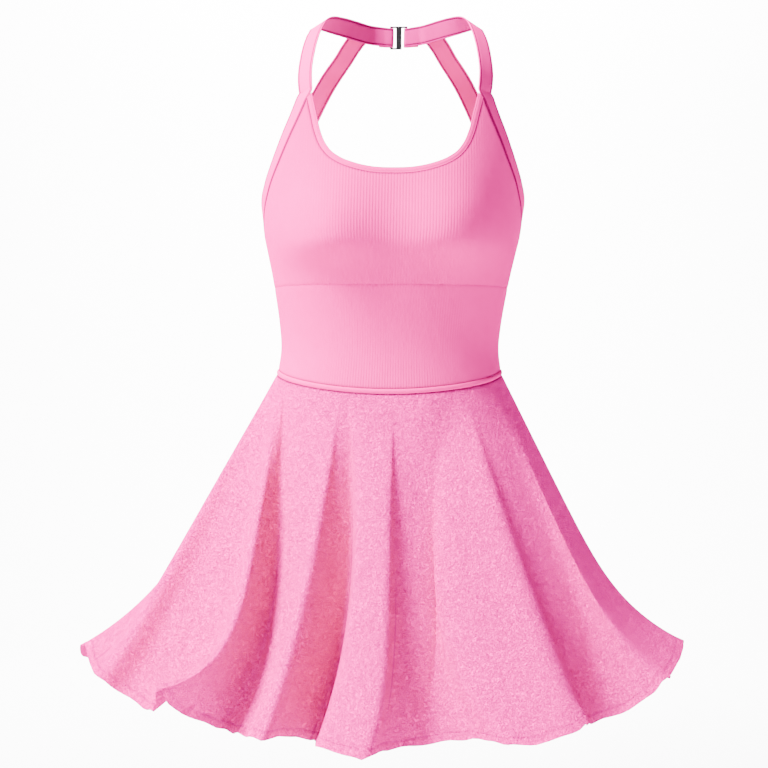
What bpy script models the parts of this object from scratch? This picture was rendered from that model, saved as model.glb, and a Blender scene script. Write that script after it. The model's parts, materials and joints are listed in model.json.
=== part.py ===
"""Halter athletic dress with a ribbed knit bodice and a flared crepe skirt, filled out as worn.

Metres, +Z up, the front faces -Y and the right side of the front view is +X.
The origin is the nape: the middle of the neck band's inner face at the centre back.
Everything is modelled about the centre of the waist, under one empty.
"""

from collections import namedtuple

import bmesh
import bpy
import numpy as np

# ---------------------------------------------------------------- driving sizes

NAPE_HEIGHT = 0.398  # from the waist centre up to the middle of the neck band
NAPE_DEPTH = 0.0645  # from the waist centre back to the neck band's inner face
SWAY = 0.020  # the bodice leans to +X by this share of its height

SEAM = 0.0003  # space between two sewn pieces
BODICE_WALL = 0.0017  # knit of the bodice, ribs not counted
SKIRT_WALL = 0.0018  # crepe of the skirt
BAND_WALL = 0.0020  # folded band of the straps
BAND_WIDTH = 0.022
BINDING_WIDTH = 0.0065
BINDING_RISE = 0.0004  # how far the binding stands out from the knit
WAIST_BAND_HEIGHT = 0.0052
WAIST_BAND_RISE = 0.0007

RIB_PITCH = np.radians(1.30)  # one rib to the next, round the figure
RIB_RISE = 0.0006
BUST_RIBS = 35  # ribs on each side of the centre front
MIDRIFF_RIBS = 33
SIDE_COLUMNS = 12  # plain knit between the ribs and the side seam
DRAW_IN = 0.9  # columns draw together above the underarm, share per metre of height
UNDERBUST = 0.107  # height of the seam between bust panel and midriff

# The figure that fills the dress: height above the waist centre, half width,
# depth of the front without the bust, depth of the back.
Section = namedtuple("Section", "height side front back")
SECTIONS = [
    Section(-0.030, 0.1330, 0.1000, 0.0950),
    Section(0.000, 0.1275, 0.0970, 0.0910),
    Section(0.040, 0.1215, 0.0950, 0.0870),
    Section(0.067, 0.1238, 0.0970, 0.0890),
    Section(0.094, 0.1280, 0.1015, 0.0940),
    Section(0.121, 0.1330, 0.1060, 0.0990),
    Section(0.148, 0.1390, 0.1090, 0.1030),
    Section(0.165, 0.1428, 0.1105, 0.1050),
    Section(0.182, 0.1455, 0.1110, 0.1060),
    Section(0.207, 0.1485, 0.1105, 0.1070),
    Section(0.244, 0.1530, 0.1080, 0.1070),
    Section(0.269, 0.1550, 0.1045, 0.1050),
    Section(0.295, 0.1565, 0.1010, 0.1030),
    Section(0.325, 0.1580, 0.0980, 0.1000),
]
SQUARENESS = 2.3  # of every section, 2 is an ellipse

BUST_SIDE = 0.078  # bust point from the centre front
BUST_HEIGHT = 0.168
BUST_RISE = 0.027
BUST_HALF_WIDTH = 0.054
BUST_ABOVE = 0.058
BUST_BELOW = 0.034

# Free edge of the scooped neck, from the centre to the strap.
Neck = namedtuple("Neck", "side height")
NECKLINE = [
    Neck(0.0000, 0.2323),
    Neck(0.0230, 0.2334),
    Neck(0.0423, 0.2377),
    Neck(0.0581, 0.2441),
    Neck(0.0675, 0.2508),
    Neck(0.0745, 0.2600),
    Neck(0.0800, 0.2733),
    Neck(0.0850, 0.2936),
    Neck(0.0902, 0.3158),
]
NECK_SLANT = 0.9  # the neck binding ends along the band: lower by this share of its width

# Seam of the arm band on the front panel, from the underarm up to the strap.
Arm = namedtuple("Arm", "height side")
ARM_SEAM = [
    Arm(0.1650, 0.1428),
    Arm(0.1707, 0.1431),
    Arm(0.1820, 0.1425),
    Arm(0.1944, 0.1413),
    Arm(0.2067, 0.1383),
    Arm(0.2190, 0.1347),
    Arm(0.2439, 0.1246),
    Arm(0.2691, 0.1139),
    Arm(0.2945, 0.1023),
    Arm(0.3105, 0.0955),
]

# The band's neck-side edge above the bodice, and the way across it to the shoulder
# side: out from the centre, back, up.
Lie = namedtuple("Lie", "side depth height out back up")
ARM_LIE = [  # on the arm seam, where side and depth come from the figure
    Lie(None, None, 0.1650, 0.06, 0.00, 1.00),
    Lie(None, None, 0.1820, 0.02, 0.55, 0.80),
    Lie(None, None, 0.2067, 0.13, 0.95, 0.25),
    Lie(None, None, 0.2439, 0.30, 0.94, 0.05),
    Lie(None, None, 0.2800, 0.40, 0.90, 0.00),
    Lie(None, None, 0.3105, 0.48, 0.88, -0.05),
]
STRAP = [
    Lie(0.0922, -0.0846, 0.3158, 0.49, 0.87, -0.07),
    Lie(0.0908, -0.0838, 0.3188, 0.50, 0.86, -0.09),
    Lie(0.0909, -0.0815, 0.3260, 0.54, 0.82, -0.16),
    Lie(0.0914, -0.0750, 0.3393, 0.60, 0.75, -0.30),
    Lie(0.0885, -0.0520, 0.3688, 0.66, 0.60, -0.45),
    Lie(0.0852, -0.0330, 0.3870, 0.72, 0.42, -0.50),
    Lie(0.0818, -0.0150, 0.4005, 0.80, 0.22, -0.52),
    Lie(0.0780, 0.0010, 0.4095, 0.80, 0.12, -0.55),
    Lie(0.0725, 0.0160, 0.4150, 0.68, 0.25, -0.68),
    Lie(0.0602, 0.0357, 0.4166, 0.35, 0.30, -0.88),
    Lie(0.0450, 0.0510, 0.4145, 0.12, 0.20, -0.96),
    Lie(0.0321, 0.0588, 0.4115, 0.05, 0.12, -0.99),
]
NECK_RADIUS = 0.0765  # of the neck band, seen from above
NECK_CENTRE = -0.009
NECK_EDGE = 0.409  # upper edge of the neck band at the clasp

# Lower edge of the back strap where it is sewn to the back, then its inner edge up to the
# neck band.
BACK_LIE = [  # side and depth come from the figure, height from the back's upper edge
    Lie(None, None, 0.1652, 0.06, 0.00, 1.00),
    Lie(None, None, 0.1680, 0.15, -0.15, 1.00),
    Lie(None, None, 0.1780, 0.60, -0.35, 0.75),
]
BACK_STRAP = [
    Lie(0.1180, 0.0945, 0.2330, 0.85, -0.40, 0.36),
    Lie(0.1050, 0.1030, 0.2670, 0.88, -0.28, 0.36),
    Lie(0.0918, 0.1040, 0.2980, 0.88, -0.15, 0.42),
    Lie(0.0690, 0.0920, 0.3427, 0.84, -0.20, 0.52),
    Lie(0.0505, 0.0750, 0.3690, 0.80, -0.40, 0.50),
    Lie(0.0385, 0.0645, 0.3860, 0.80, -0.34, 0.50),
    Lie(0.0300, 0.0648, 0.3965, 0.80, -0.42, 0.42),
]

# The waist seam dips at the front and a little at the back.
WAIST_SIDE = 0.0170
WAIST_FRONT_DIP = 0.0224
WAIST_BACK_DIP = 0.0060

BACK_TOP_SIDE = 0.1650  # top of the back panel at the side seam
BACK_TOP_STRAP = 0.1780  # and under the straps
BACK_TOP_CENTRE = 0.1640
BACK_STRAP_BEARING = 118.0  # degrees round the figure where a strap leaves the back panel

# Lines down the skirt, on crests, hollows and the slopes between, from the left tip past
# the front to the right tip: bearing at the waist in degrees, then the hem point. A line
# sets out sideways so that it would have gone `drift` by the hem, and makes up the rest
# towards the hem, the later the higher its `curl`.
Line = namedtuple("Line", "bearing side depth height drift curl")
FRONT_LINES = [
    Line(-96.0, -0.338, -0.020, -0.287, -0.157, 7),
    Line(-92.0, -0.327, -0.060, -0.304, -0.165, 7),
    Line(-88.0, -0.306, -0.125, -0.311, -0.170, 8),
    Line(-82.0, -0.281, -0.120, -0.329, -0.138, 4),
    Line(-75.0, -0.251, -0.160, -0.339, -0.075, 8),
    Line(-67.0, -0.236, -0.210, -0.320, -0.047, 10),
    Line(-62.5, -0.220, -0.180, -0.337, -0.034, 8),
    Line(-57.0, -0.176, -0.150, -0.360, -0.008, 5),
    Line(-31.0, -0.150, -0.185, -0.361, -0.045, 4),
    Line(-25.0, -0.132, -0.210, -0.362, -0.048, 3),
    Line(-22.9, -0.109, -0.170, -0.364, -0.023, 5),
    Line(-20.5, -0.079, -0.145, -0.373, 0.021, 3),
    Line(-17.5, -0.074, -0.208, -0.370, 0.019, 3),
    Line(-10.3, -0.049, -0.228, -0.372, -0.010, 3),
    Line(-0.5, -0.026, -0.240, -0.374, -0.005, 9),
    Line(2.5, -0.008, -0.200, -0.375, 0.010, 5),
    Line(7.0, 0.013, -0.182, -0.374, 0.055, 5),
    Line(17.0, 0.052, -0.180, -0.369, 0.022, 3),
    Line(25.4, 0.093, -0.190, -0.364, -0.029, 4),
    Line(31.5, 0.125, -0.218, -0.366, -0.026, 4),
    Line(33.8, 0.162, -0.222, -0.362, 0.052, 3),
    Line(36.0, 0.196, -0.218, -0.349, 0.098, 3),
    Line(39.0, 0.207, -0.165, -0.353, 0.125, 3),
    Line(49.4, 0.224, -0.128, -0.354, 0.150, 6),
    Line(55.0, 0.259, -0.130, -0.340, 0.155, 5),
    Line(62.0, 0.295, -0.132, -0.311, 0.132, 6),
    Line(66.0, 0.304, -0.080, -0.313, 0.138, 6),
    Line(79.0, 0.322, -0.030, -0.300, 0.144, 7),
    Line(92.0, 0.331, 0.015, -0.286, 0.149, 8),
]
BACK_FOLDS = 8
BACK_REACH = 0.262  # hem behind the waist centre, mean of crests and hollows
BACK_FOLD_DEPTH = 0.034
BACK_HEM = -0.352
SIDE_SEAM = 90.0  # bearing of the side seams of the skirt

SKIRT_ROWS = 12
SKIRT_COLUMN = 6.5  # degrees round the waist from column to column, at most

# ---------------------------------------------------------------- plain geometry


def curve(knots, values, at):
    """Points at `at` on the smooth curve that passes `values` at the rising `knots`."""
    knots, values, at = (np.asarray(item, float) for item in (knots, values, at))
    slopes = np.gradient(values, knots, axis=0)
    left = np.clip(np.searchsorted(knots, at, side="right") - 1, 0, len(knots) - 2)
    width = knots[left + 1] - knots[left]
    share = (at - knots[left]) / width
    if values.ndim > 1:
        width, share = width[..., None], share[..., None]
    rest = 1 - share
    return (
        rest**2 * ((1 + 2 * share) * values[left] + share * width * slopes[left])
        + share**2 * ((3 - 2 * share) * values[left + 1] - rest * width * slopes[left + 1])
    )


def unit(vectors):
    return vectors / np.linalg.norm(vectors, axis=-1, keepdims=True)


def lengths(points):
    """Distance along a line of points, 0 at the first."""
    return np.concatenate([[0], np.cumsum(np.linalg.norm(np.diff(points, axis=0), axis=1))])


def column(rows, name):
    return np.array([getattr(row, name) for row in rows])


# ---------------------------------------------------------------- the figure


def figure(bearing, height):
    """Outer face of the worn knit. The bearing is 0 at the front and 90 degrees at +X."""
    heights = column(SECTIONS, "height")
    side, front, back = (
        curve(heights, column(SECTIONS, name), height) for name in ("side", "front", "back")
    )
    across, ahead = np.sin(bearing), np.cos(bearing)
    reach = (abs(across) ** SQUARENESS + abs(ahead) ** SQUARENESS) ** (-1 / SQUARENESS)
    x = side * across * reach
    y = -np.where(ahead > 0, front, back) * ahead * reach
    above = np.where(height > BUST_HEIGHT, BUST_ABOVE, BUST_BELOW)
    swell = np.exp(-(((height - BUST_HEIGHT) / above) ** 2))
    cups = sum(np.exp(-(((x - mid) / BUST_HALF_WIDTH) ** 2)) for mid in (-BUST_SIDE, BUST_SIDE))
    y = y - BUST_RISE * swell * cups * np.clip(2 * ahead, 0, 1)
    return np.stack([x, y, height + 0 * x], axis=-1)


def outward(bearing, height):
    """Direction square to the figure's surface, pointing out."""
    step = 1e-4
    round_it = figure(bearing + step, height) - figure(bearing - step, height)
    up_it = figure(bearing, height + step) - figure(bearing, height - step)
    return unit(np.cross(round_it, up_it))


def bearing_at(side, height):
    """Bearing of the front surface's point that is `side` from the centre."""
    heights = column(SECTIONS, "height")
    share = np.clip(side / curve(heights, column(SECTIONS, "side"), height), -1, 1)
    ahead = (1 - abs(share) ** SQUARENESS) ** (1 / SQUARENESS)
    return np.arctan2(share, ahead)


def waist_height(bearing):
    """Height of the waist seam: the bodice's lower edge."""
    ahead = np.cos(bearing)
    dip = np.where(ahead > 0, WAIST_FRONT_DIP, WAIST_BACK_DIP)
    return WAIST_SIDE - dip * abs(ahead) ** 1.5


# ---------------------------------------------------------------- closed solids


def strip(first, second, first_marks, second_marks):
    """Triangles between two rows of vertices whose marks rise together."""
    faces, i, j = [], 0, 0
    while i < len(first) - 1 or j < len(second) - 1:
        ahead = j == len(second) - 1
        if ahead or (i < len(first) - 1 and first_marks[i + 1] <= second_marks[j + 1]):
            faces.append((first[i], first[i + 1], second[j]))
            i += 1
        else:
            faces.append((first[i], second[j + 1], second[j]))
            j += 1
    return faces


def grid_faces(index):
    """Quads of a grid of vertex numbers."""
    near, far = index[:-1], index[1:]
    return list(zip(near[:, :-1].flat, near[:, 1:].flat, far[:, 1:].flat, far[:, :-1].flat))


def wall(name, material, outer, inner, outer_marks=None, inner_marks=None):
    """A cloth wall between two grids of points (rows, columns, 3), closed round its rim."""
    outer_marks = np.arange(outer.shape[1]) if outer_marks is None else outer_marks
    inner_marks = outer_marks if inner_marks is None else inner_marks
    front = np.arange(outer.shape[0] * outer.shape[1]).reshape(outer.shape[:2])
    back = front.size + np.arange(inner.shape[0] * inner.shape[1]).reshape(inner.shape[:2])
    faces = grid_faces(front) + grid_faces(back[:, ::-1])
    for row in (0, -1):
        faces += strip(front[row], back[row], outer_marks, inner_marks)
    for side in (0, -1):
        faces += grid_faces(np.stack([front[:, side], back[:, side]], axis=1))
    return solid(name, material, np.concatenate([outer.reshape(-1, 3), inner.reshape(-1, 3)]), faces)


def tube(name, material, rings):
    """A solid swept through `rings` (stations, corners, 3), its ends closed by a face each."""
    stations, corners = rings.shape[:2]
    index = np.arange(stations * corners).reshape(stations, corners)
    faces = grid_faces(np.concatenate([index, index[:, :1]], axis=1))
    faces += [tuple(index[0]), tuple(index[-1])]
    return solid(name, material, rings.reshape(-1, 3), faces)


def hoop(name, material, rings):
    """A solid swept once round through `rings`, the last meeting the first."""
    stations, corners = rings.shape[:2]
    index = np.arange(stations * corners).reshape(stations, corners)
    index = np.concatenate([index, index[:, :1]], axis=1)
    index = np.concatenate([index, index[:1]], axis=0)
    return solid(name, material, rings.reshape(-1, 3), grid_faces(index))


def solid(name, material, points, faces):
    """A mesh object from points and faces, its faces turned outwards."""
    mesh = bpy.data.meshes.new(name)
    faces = [tuple(int(corner) for corner in face) for face in faces]
    mesh.from_pydata(points.tolist(), [], faces)
    build = bmesh.new()
    build.from_mesh(mesh)
    bmesh.ops.recalc_face_normals(build, faces=build.faces)
    build.to_mesh(mesh)
    build.free()
    mesh.shade_smooth()
    mesh.set_sharp_from_angle(angle=np.radians(40))
    mesh.materials.append(material)
    thing = bpy.data.objects.new(name, mesh)
    bpy.context.collection.objects.link(thing)
    return thing


def sway(points):
    """Lean the bodice's points to +X with their height."""
    return points + np.stack([SWAY * points[..., 2], 0 * points[..., 0], 0 * points[..., 0]], axis=-1)


# ---------------------------------------------------------------- bodice


def neck_edge(count, inset=0.0):
    """The neckline from the left strap to the right, moved `inset` into the knit: side, height."""
    right = np.array(NECKLINE)
    both = np.concatenate([right[:0:-1] * [-1, 1], right])
    at = lengths(both)
    fine = curve(at, both, np.linspace(0, at[-1], 6 * count))
    along = unit(np.gradient(fine, axis=0))
    fine = fine + inset * np.stack([along[:, 1], -along[:, 0]], axis=1)
    fine = fine[fine[:, 1] <= NECKLINE[-1].height - NECK_SLANT * inset]
    at = lengths(fine)
    return curve(at, fine, np.linspace(0, at[-1], count))


def grain(height):
    """Spread of the knit's columns at a height: they draw together above the underarm."""
    return 1 - DRAW_IN * np.clip(height - ARM_SEAM[0].height, 0, 1)


def neck_top(marks):
    """Height at which each column of the front meets the neck binding."""
    neck = neck_edge(160, BINDING_WIDTH + SEAM)
    neck = neck[neck[:, 0] >= 0]
    neck_marks = bearing_at(neck[:, 0], neck[:, 1]) / grain(neck[:, 1])
    return np.interp(abs(marks), neck_marks, neck[:, 1], right=1)


def arm_top(marks):
    """Height at which each column of the front meets the arm band."""
    height = np.linspace(ARM_SEAM[0].height, ARM_SEAM[-1].height, 60)
    side = curve(column(ARM_SEAM, "height"), column(ARM_SEAM, "side"), height)
    arm_marks = bearing_at(side, height) / grain(height)
    return np.interp(abs(marks), arm_marks[::-1], height[::-1], left=1)


def front_top(marks):
    return np.minimum(neck_top(marks), arm_top(marks))


def front_columns(ribs):
    """Marks of the front's columns, two a rib, and the rise of the knit at each."""
    rib_marks = np.arange(-2 * ribs, 2 * ribs + 1) * RIB_PITCH / 2
    last = np.pi / 2 - SEAM / 2 / SECTIONS[4].front
    plain = np.linspace(rib_marks[-1], last, SIDE_COLUMNS + 1)[1:]
    marks = np.concatenate([-plain[::-1], rib_marks, plain])
    rise = np.zeros(len(marks))
    rise[SIDE_COLUMNS + 1 : -SIDE_COLUMNS : 2] = RIB_RISE
    return marks, rise


def front_panel(name, material, ribs, low, high, rows, plain_step):
    """A ribbed front panel between two heights given for each column, plain inside."""
    marks, rise = front_columns(ribs)
    shares = np.linspace(0, 1, rows + 1)[:, None]

    def face(which, out):
        heights = low(marks[which]) * (1 - shares) + high(marks[which]) * shares
        bearings = marks[which] * grain(heights)
        return sway(figure(bearings, heights) + out * outward(bearings, heights))

    every = np.arange(len(marks))
    plain = np.array([i for i in every if i % plain_step == 0 or i == every[-1] or steep(marks[i])])
    outer = face(every, rise[None, :, None])
    inner = face(plain, -BODICE_WALL)
    return wall(name, material, outer, inner, marks, marks[plain])


def steep(mark):
    """True where the neckline and the arm seam climb steeply to the strap."""
    return abs(mark) > 0.40


def make_front(material):
    half_seam = SEAM / 2
    front_panel(
        "front_midriff_panel",
        material,
        MIDRIFF_RIBS,
        low=lambda marks: waist_height(marks) + half_seam,
        high=lambda marks: UNDERBUST - half_seam + 0 * marks,
        rows=4,
        plain_step=7,
    )
    front_panel(
        "front_bust_panel",
        material,
        BUST_RIBS,
        low=lambda marks: UNDERBUST + half_seam + 0 * marks,
        high=front_top,
        rows=7,
        plain_step=7,
    )


def back_top(bearing):
    """Upper edge of the back: highest under the straps, lower between them."""
    degrees = abs(np.degrees(bearing))
    knots = [80, 90, BACK_STRAP_BEARING, 150, 180, 190]
    heights = [
        BACK_TOP_SIDE,
        BACK_TOP_SIDE,
        BACK_TOP_STRAP,
        BACK_TOP_CENTRE + 0.002,
        BACK_TOP_CENTRE,
        BACK_TOP_CENTRE,
    ]
    return curve(knots, heights, np.where(degrees > 180, 360 - degrees, degrees))


def back_bearings():
    """Stations round the back: close together where the binding meets the straps."""
    edge = 90 + np.degrees(SEAM / 2 / SECTIONS[4].back)
    half = np.concatenate(
        [
            np.linspace(edge, BACK_STRAP_BEARING, 6),
            BACK_STRAP_BEARING + np.array([2.0, 4.0]),
            np.linspace(BACK_STRAP_BEARING + 9, 180, 9),
        ]
    )
    return np.radians(np.concatenate([half, 360 - half[-2::-1]]))


def make_back(material):
    """The low back: plain knit from the waist seam to the back binding and the straps."""
    bearings = back_bearings()
    shares = np.linspace(0, 1, 8)[:, None]
    low, high = waist_height(bearings) + SEAM / 2, back_panel_top(bearings)
    heights = low * (1 - shares) + high * shares
    round_it = bearings + 0 * heights
    outer = figure(round_it, heights)
    inner = outer - BODICE_WALL * outward(round_it, heights)
    return wall("back_panel", material, sway(outer), sway(inner))


def strap_share(bearing):
    """1 between the straps, where the back has its binding, and 0 where a strap is sewn on."""
    degrees = np.degrees(bearing)
    inside = np.minimum(degrees, 360 - degrees) - BACK_STRAP_BEARING
    return np.clip(inside / 2, 0, 1)


def back_panel_top(bearing):
    return back_top(bearing) - SEAM - (BINDING_WIDTH + SEAM) * strap_share(bearing)


def flat_strip(low, high, out, depth, bearings):
    """Rings of a narrow strip on the figure: four corners at each bearing."""
    corners = []
    for heights, lift in ((low, out), (high, out), (high, out - depth), (low, out - depth)):
        corners.append(figure(bearings, heights) + lift * outward(bearings, heights))
    return sway(np.stack(corners, axis=1))


def make_neck_binding(material):
    """The binding on the scooped neck, between the seam and the free edge."""
    count = 61
    outer_edge, seam = neck_edge(count), neck_edge(count, BINDING_WIDTH)
    corners = []
    for line, lift in (
        (outer_edge, BINDING_RISE),
        (seam, BINDING_RISE),
        (seam, -BODICE_WALL),
        (outer_edge, -BODICE_WALL),
    ):
        bearings = bearing_at(line[:, 0], line[:, 1])
        corners.append(figure(bearings, line[:, 1]) + lift * outward(bearings, line[:, 1]))
    return tube("neckline_binding", material, sway(np.stack(corners, axis=1)))


def make_back_binding(material):
    """The binding on the back's upper edge, from strap to strap."""
    bearings = back_bearings()
    bearings = bearings[strap_share(bearings) == 1]
    high = back_top(bearings)
    rings = flat_strip(high - BINDING_WIDTH, high, BINDING_RISE, BODICE_WALL + BINDING_RISE, bearings)
    return tube("back_binding", material, rings)


def make_waist_band(material):
    """The narrow raised band all round the waist seam, rounded outside."""
    bearings = np.linspace(0, 2 * np.pi, 72, endpoint=False)
    top = waist_height(bearings) - SEAM / 2
    corners = []
    for drop, lift in (
        (0.0, 0.0),
        (0.25, WAIST_BAND_RISE),
        (0.75, WAIST_BAND_RISE),
        (1.0, 0.0),
        (1.0, -BODICE_WALL),
        (0.0, -BODICE_WALL),
    ):
        heights = top - drop * WAIST_BAND_HEIGHT
        corners.append(figure(bearings, heights) + lift * outward(bearings, heights))
    return hoop("waist_band", material, sway(np.stack(corners, axis=1)))


# ---------------------------------------------------------------- bands and straps


def lie_points(rows):
    edge = np.array([[row.side, row.depth, row.height] for row in rows])
    return edge, lie_across(rows)


def lie_across(rows):
    return np.array([[row.out, row.back, row.up] for row in rows])


def seam_side(edge, rim):
    """Move a sewn edge out of the panel by the seam's space."""
    along = unit(np.gradient(edge, axis=0))
    return edge + SEAM * unit(np.cross(rim, along))


def arm_part():
    """The band along the arm seam, underarm to strap: edge, lie, and the way into the cloth."""
    marks, rise = front_columns(BUST_RIBS)
    marks = marks[(rise == 0) & (marks > 0)][::-1]
    marks = marks[arm_top(marks) < neck_top(marks)]
    heights = arm_top(marks)
    bearings = marks * grain(heights)
    across = curve(column(ARM_LIE, "height"), lie_across(ARM_LIE), heights)
    edge, rim = figure(bearings, heights), -outward(bearings, heights)
    return seam_side(edge, rim), across, rim


def back_part():
    """The back strap along the back's upper edge: edge, lie, and the way into the cloth."""
    bearings = back_bearings()
    bearings = bearings[bearings <= np.radians(BACK_STRAP_BEARING) + 1e-6]
    heights = back_top(bearings)
    across = curve(column(BACK_LIE, "height"), lie_across(BACK_LIE), heights)
    return figure(bearings, heights), across, -outward(bearings, heights)


def sewn_band(name, material, sewn, free, side, turn):
    """A flat band that is sewn along a panel at first and goes on free.

    `sewn` holds its edge, the way across it and the way into the cloth at that edge, `free`
    its edge and the way across. `turn` is 1 where the cloth lies to the left of edge and
    across, and -1 to the right.
    """
    edge, across = (np.concatenate([sewn[n], free[n]]) for n in (0, 1))
    along = unit(np.gradient(edge, axis=0))
    square = unit(across - np.sum(across * along, axis=1, keepdims=True) * along)
    square[0] = unit(across[0])
    inward = turn * unit(np.cross(along, square))
    held = np.concatenate([sewn[2], np.tile(sewn[2][-1], (len(free[0]), 1))])
    blend = np.clip((np.arange(len(edge)) - len(sewn[0]) + 1) / 4, 0, 1)[:, None]
    rim = unit(held * (1 - blend) + inward * blend)
    far = edge + BAND_WIDTH * square
    rings = np.stack([edge, far, far + BAND_WALL * inward, edge + BAND_WALL * rim], axis=1)
    return tube(name, material, sway(rings * [side, 1, 1]))


def onward(sewn, rows, count):
    """The free part of a band: on from its sewn part, through the rows of a table."""
    edge, across = (np.concatenate([sewn[n][-3:], part]) for n, part in enumerate(lie_points(rows)))
    at = lengths(edge)
    stations = np.linspace(at[2], at[-1], count)[1:]
    return curve(at, edge, stations), curve(at, across, stations)


def make_band(material, side, clasp_bar):
    """Arm band, halter strap and half of the neck band in one, looped round the clasp's bar."""
    sewn = arm_part()
    strap_edge, strap_across = onward(sewn, STRAP, 30)
    loop = clasp_loop(clasp_bar, strap_edge[-1])
    lean = np.maximum(0, 0.09 - 0.045 * np.arange(len(loop)))
    loop_across = np.stack([0 * lean, lean, lean - 1], axis=1)
    free = np.concatenate([strap_edge, loop]), np.concatenate([strap_across, loop_across])
    name = "band_left" if side < 0 else "band_right"
    return sewn_band(name, material, sewn, free, side, 1)


def neck_depth(side):
    """Depth of the neck band's outer face, flat along the clasp."""
    return NECK_CENTRE + np.sqrt(NECK_RADIUS**2 - np.maximum(abs(side), CLASP_RIGHT) ** 2)


def clasp_loop(bar, last):
    """The band's end: on to the clasp's bar, round it and back along its own outer face."""
    radius = CLASP_LOOP
    onward = np.linspace(last[0], bar, 5)[1:-1]
    height = np.interp(onward, [bar, last[0]], [NECK_EDGE, last[2]])
    there = np.stack([onward, neck_depth(onward), height], axis=1)
    turn = np.linspace(0, np.pi, 7)
    middle = neck_depth(bar) + radius
    bend = np.stack([bar - radius * np.sin(turn), middle - radius * np.cos(turn)], axis=1)
    bend = np.concatenate([bend, np.full((len(turn), 1), NECK_EDGE)], axis=1)
    home = bar + np.array([0.004, 0.008, 0.013])
    space = np.array([0.6 * 2 * radius, 2 * SEAM, 1.5 * SEAM])
    back = np.stack([home, neck_depth(home) + space, NECK_EDGE + 0 * home], axis=1)
    return np.concatenate([there, bend, back])


def make_back_strap(material, side):
    sewn = back_part()
    name = "back_strap_left" if side < 0 else "back_strap_right"
    return sewn_band(name, material, sewn, onward(sewn, BACK_STRAP, 20), side, -1)


# ---------------------------------------------------------------- clasp

CLASP_BAR = 0.0020  # width of the clasp's bars
CLASP_DEPTH = 0.0018
CLASP_LOOP = 0.0015  # inside radius of the cloth that is folded over a bar
CLASP_LEFT = -0.0060  # middle of the bar in the left loop
CLASP_RIGHT = 0.0122  # middle of the bar in the right loop
CLASP_MIDDLE = (0.0002, 0.0064)  # the wide bar between them
CLASP_REACH = 0.0114  # half height of the windows


def box(name, low, high):
    """A box between two corners."""
    build = bmesh.new()
    bmesh.ops.create_cube(build, size=1)
    for vertex in build.verts:
        for axis in range(3):
            vertex.co[axis] = low[axis] if vertex.co[axis] < 0 else high[axis]
    mesh = bpy.data.meshes.new(name)
    build.to_mesh(mesh)
    build.free()
    thing = bpy.data.objects.new(name, mesh)
    bpy.context.collection.objects.link(thing)
    return thing


def make_clasp(material):
    """Flat hook: a ring for the left loop, a wide bar, and a hook that is open below."""
    half = CLASP_BAR / 2
    middle = neck_depth(CLASP_LEFT) + CLASP_LOOP
    front, rear = middle - CLASP_DEPTH / 2, middle + CLASP_DEPTH / 2
    centre = NECK_EDGE - BAND_WIDTH / 2
    top, bottom = centre + CLASP_REACH + CLASP_BAR, centre - CLASP_REACH - CLASP_BAR
    past = 0.002
    plate = box("neck_clasp", (CLASP_LEFT - half, front, bottom), (CLASP_RIGHT + half, rear, top))
    window = (CLASP_LEFT + half, CLASP_MIDDLE[0], centre - CLASP_REACH)
    mouth = (CLASP_MIDDLE[1], CLASP_RIGHT - half, bottom - past)
    tip = (CLASP_MIDDLE[1], CLASP_RIGHT + half + past, bottom - past)
    cuts = [
        (window[0], window[1], window[2], centre + CLASP_REACH),
        (mouth[0], mouth[1], mouth[2], centre + CLASP_REACH),
        (tip[0], tip[1], tip[2], centre - CLASP_REACH + 2 * CLASP_BAR),
    ]
    for number, (left, right, low, high) in enumerate(cuts):
        cutter = box(f"clasp_cut_{number}", (left, front - past, low), (right, rear + past, high))
        cutter.hide_render = True
        cutter.display_type = "WIRE"
        cut = plate.modifiers.new(f"cut_{number}", "BOOLEAN")
        cut.operation = "DIFFERENCE"
        cut.object = cutter
    edges = plate.modifiers.new("edges", "BEVEL")
    edges.width = 0.0005
    edges.segments = 2
    edges.limit_method = "ANGLE"
    plate.data.materials.append(material)
    for thing in [plate] + [cut.object for cut in plate.modifiers if cut.type == "BOOLEAN"]:
        thing.location.x = SWAY * NAPE_HEIGHT
    return plate


# ---------------------------------------------------------------- skirt


def back_lines():
    """Crests and hollows of the hidden back, uneven like those of the front."""
    right, left = FRONT_LINES[-1], FRONT_LINES[0]
    tip_side, tip_height = (right.side - left.side) / 2, (right.height + left.height) / 2
    lines = []
    count = 2 * BACK_FOLDS + 1
    for number in range(1, count):
        share = number / count
        bearing = right.bearing + share * (left.bearing + 360 - right.bearing)
        crest = 1 if number % 2 == 0 else -1
        fold = crest * BACK_FOLD_DEPTH * (1 + 0.28 * np.sin(2.1 * number))
        across, behind = np.cos(np.pi * share), np.sin(np.pi * share)
        side = (tip_side + 0.45 * fold) * across
        depth = (BACK_REACH + fold) * behind * (1 - 0.06 * np.sin(5 * share))
        height = tip_height - (tip_height - BACK_HEM) * behind**0.5 + 0.1 * fold
        lines.append(Line(bearing, side, depth, height, 0.45 * side, 4))
    return lines


def skirt_grid(rows):
    """The skirt's outer face all round: grid of points, and each column's bearing."""
    lines = FRONT_LINES + back_lines()
    order = np.arange(-3, len(lines) + 4)
    table = np.array([lines[number] for number in order % len(lines)])
    table[:, 0] += 360 * np.floor_divide(order, len(lines))
    knots = lengths(table[:, 1:4])
    stations = []
    for number in range(3, 3 + len(lines)):
        count = max(2, int(np.ceil((table[number + 1, 0] - table[number, 0]) / SKIRT_COLUMN)))
        stations += list(np.linspace(knots[number], knots[number + 1], count, endpoint=False))
    bearing, *hem = curve(knots, table, stations).T
    return skirt_points(np.radians(bearing), *hem, np.linspace(0, 1, rows + 1)[:, None]), bearing


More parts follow.
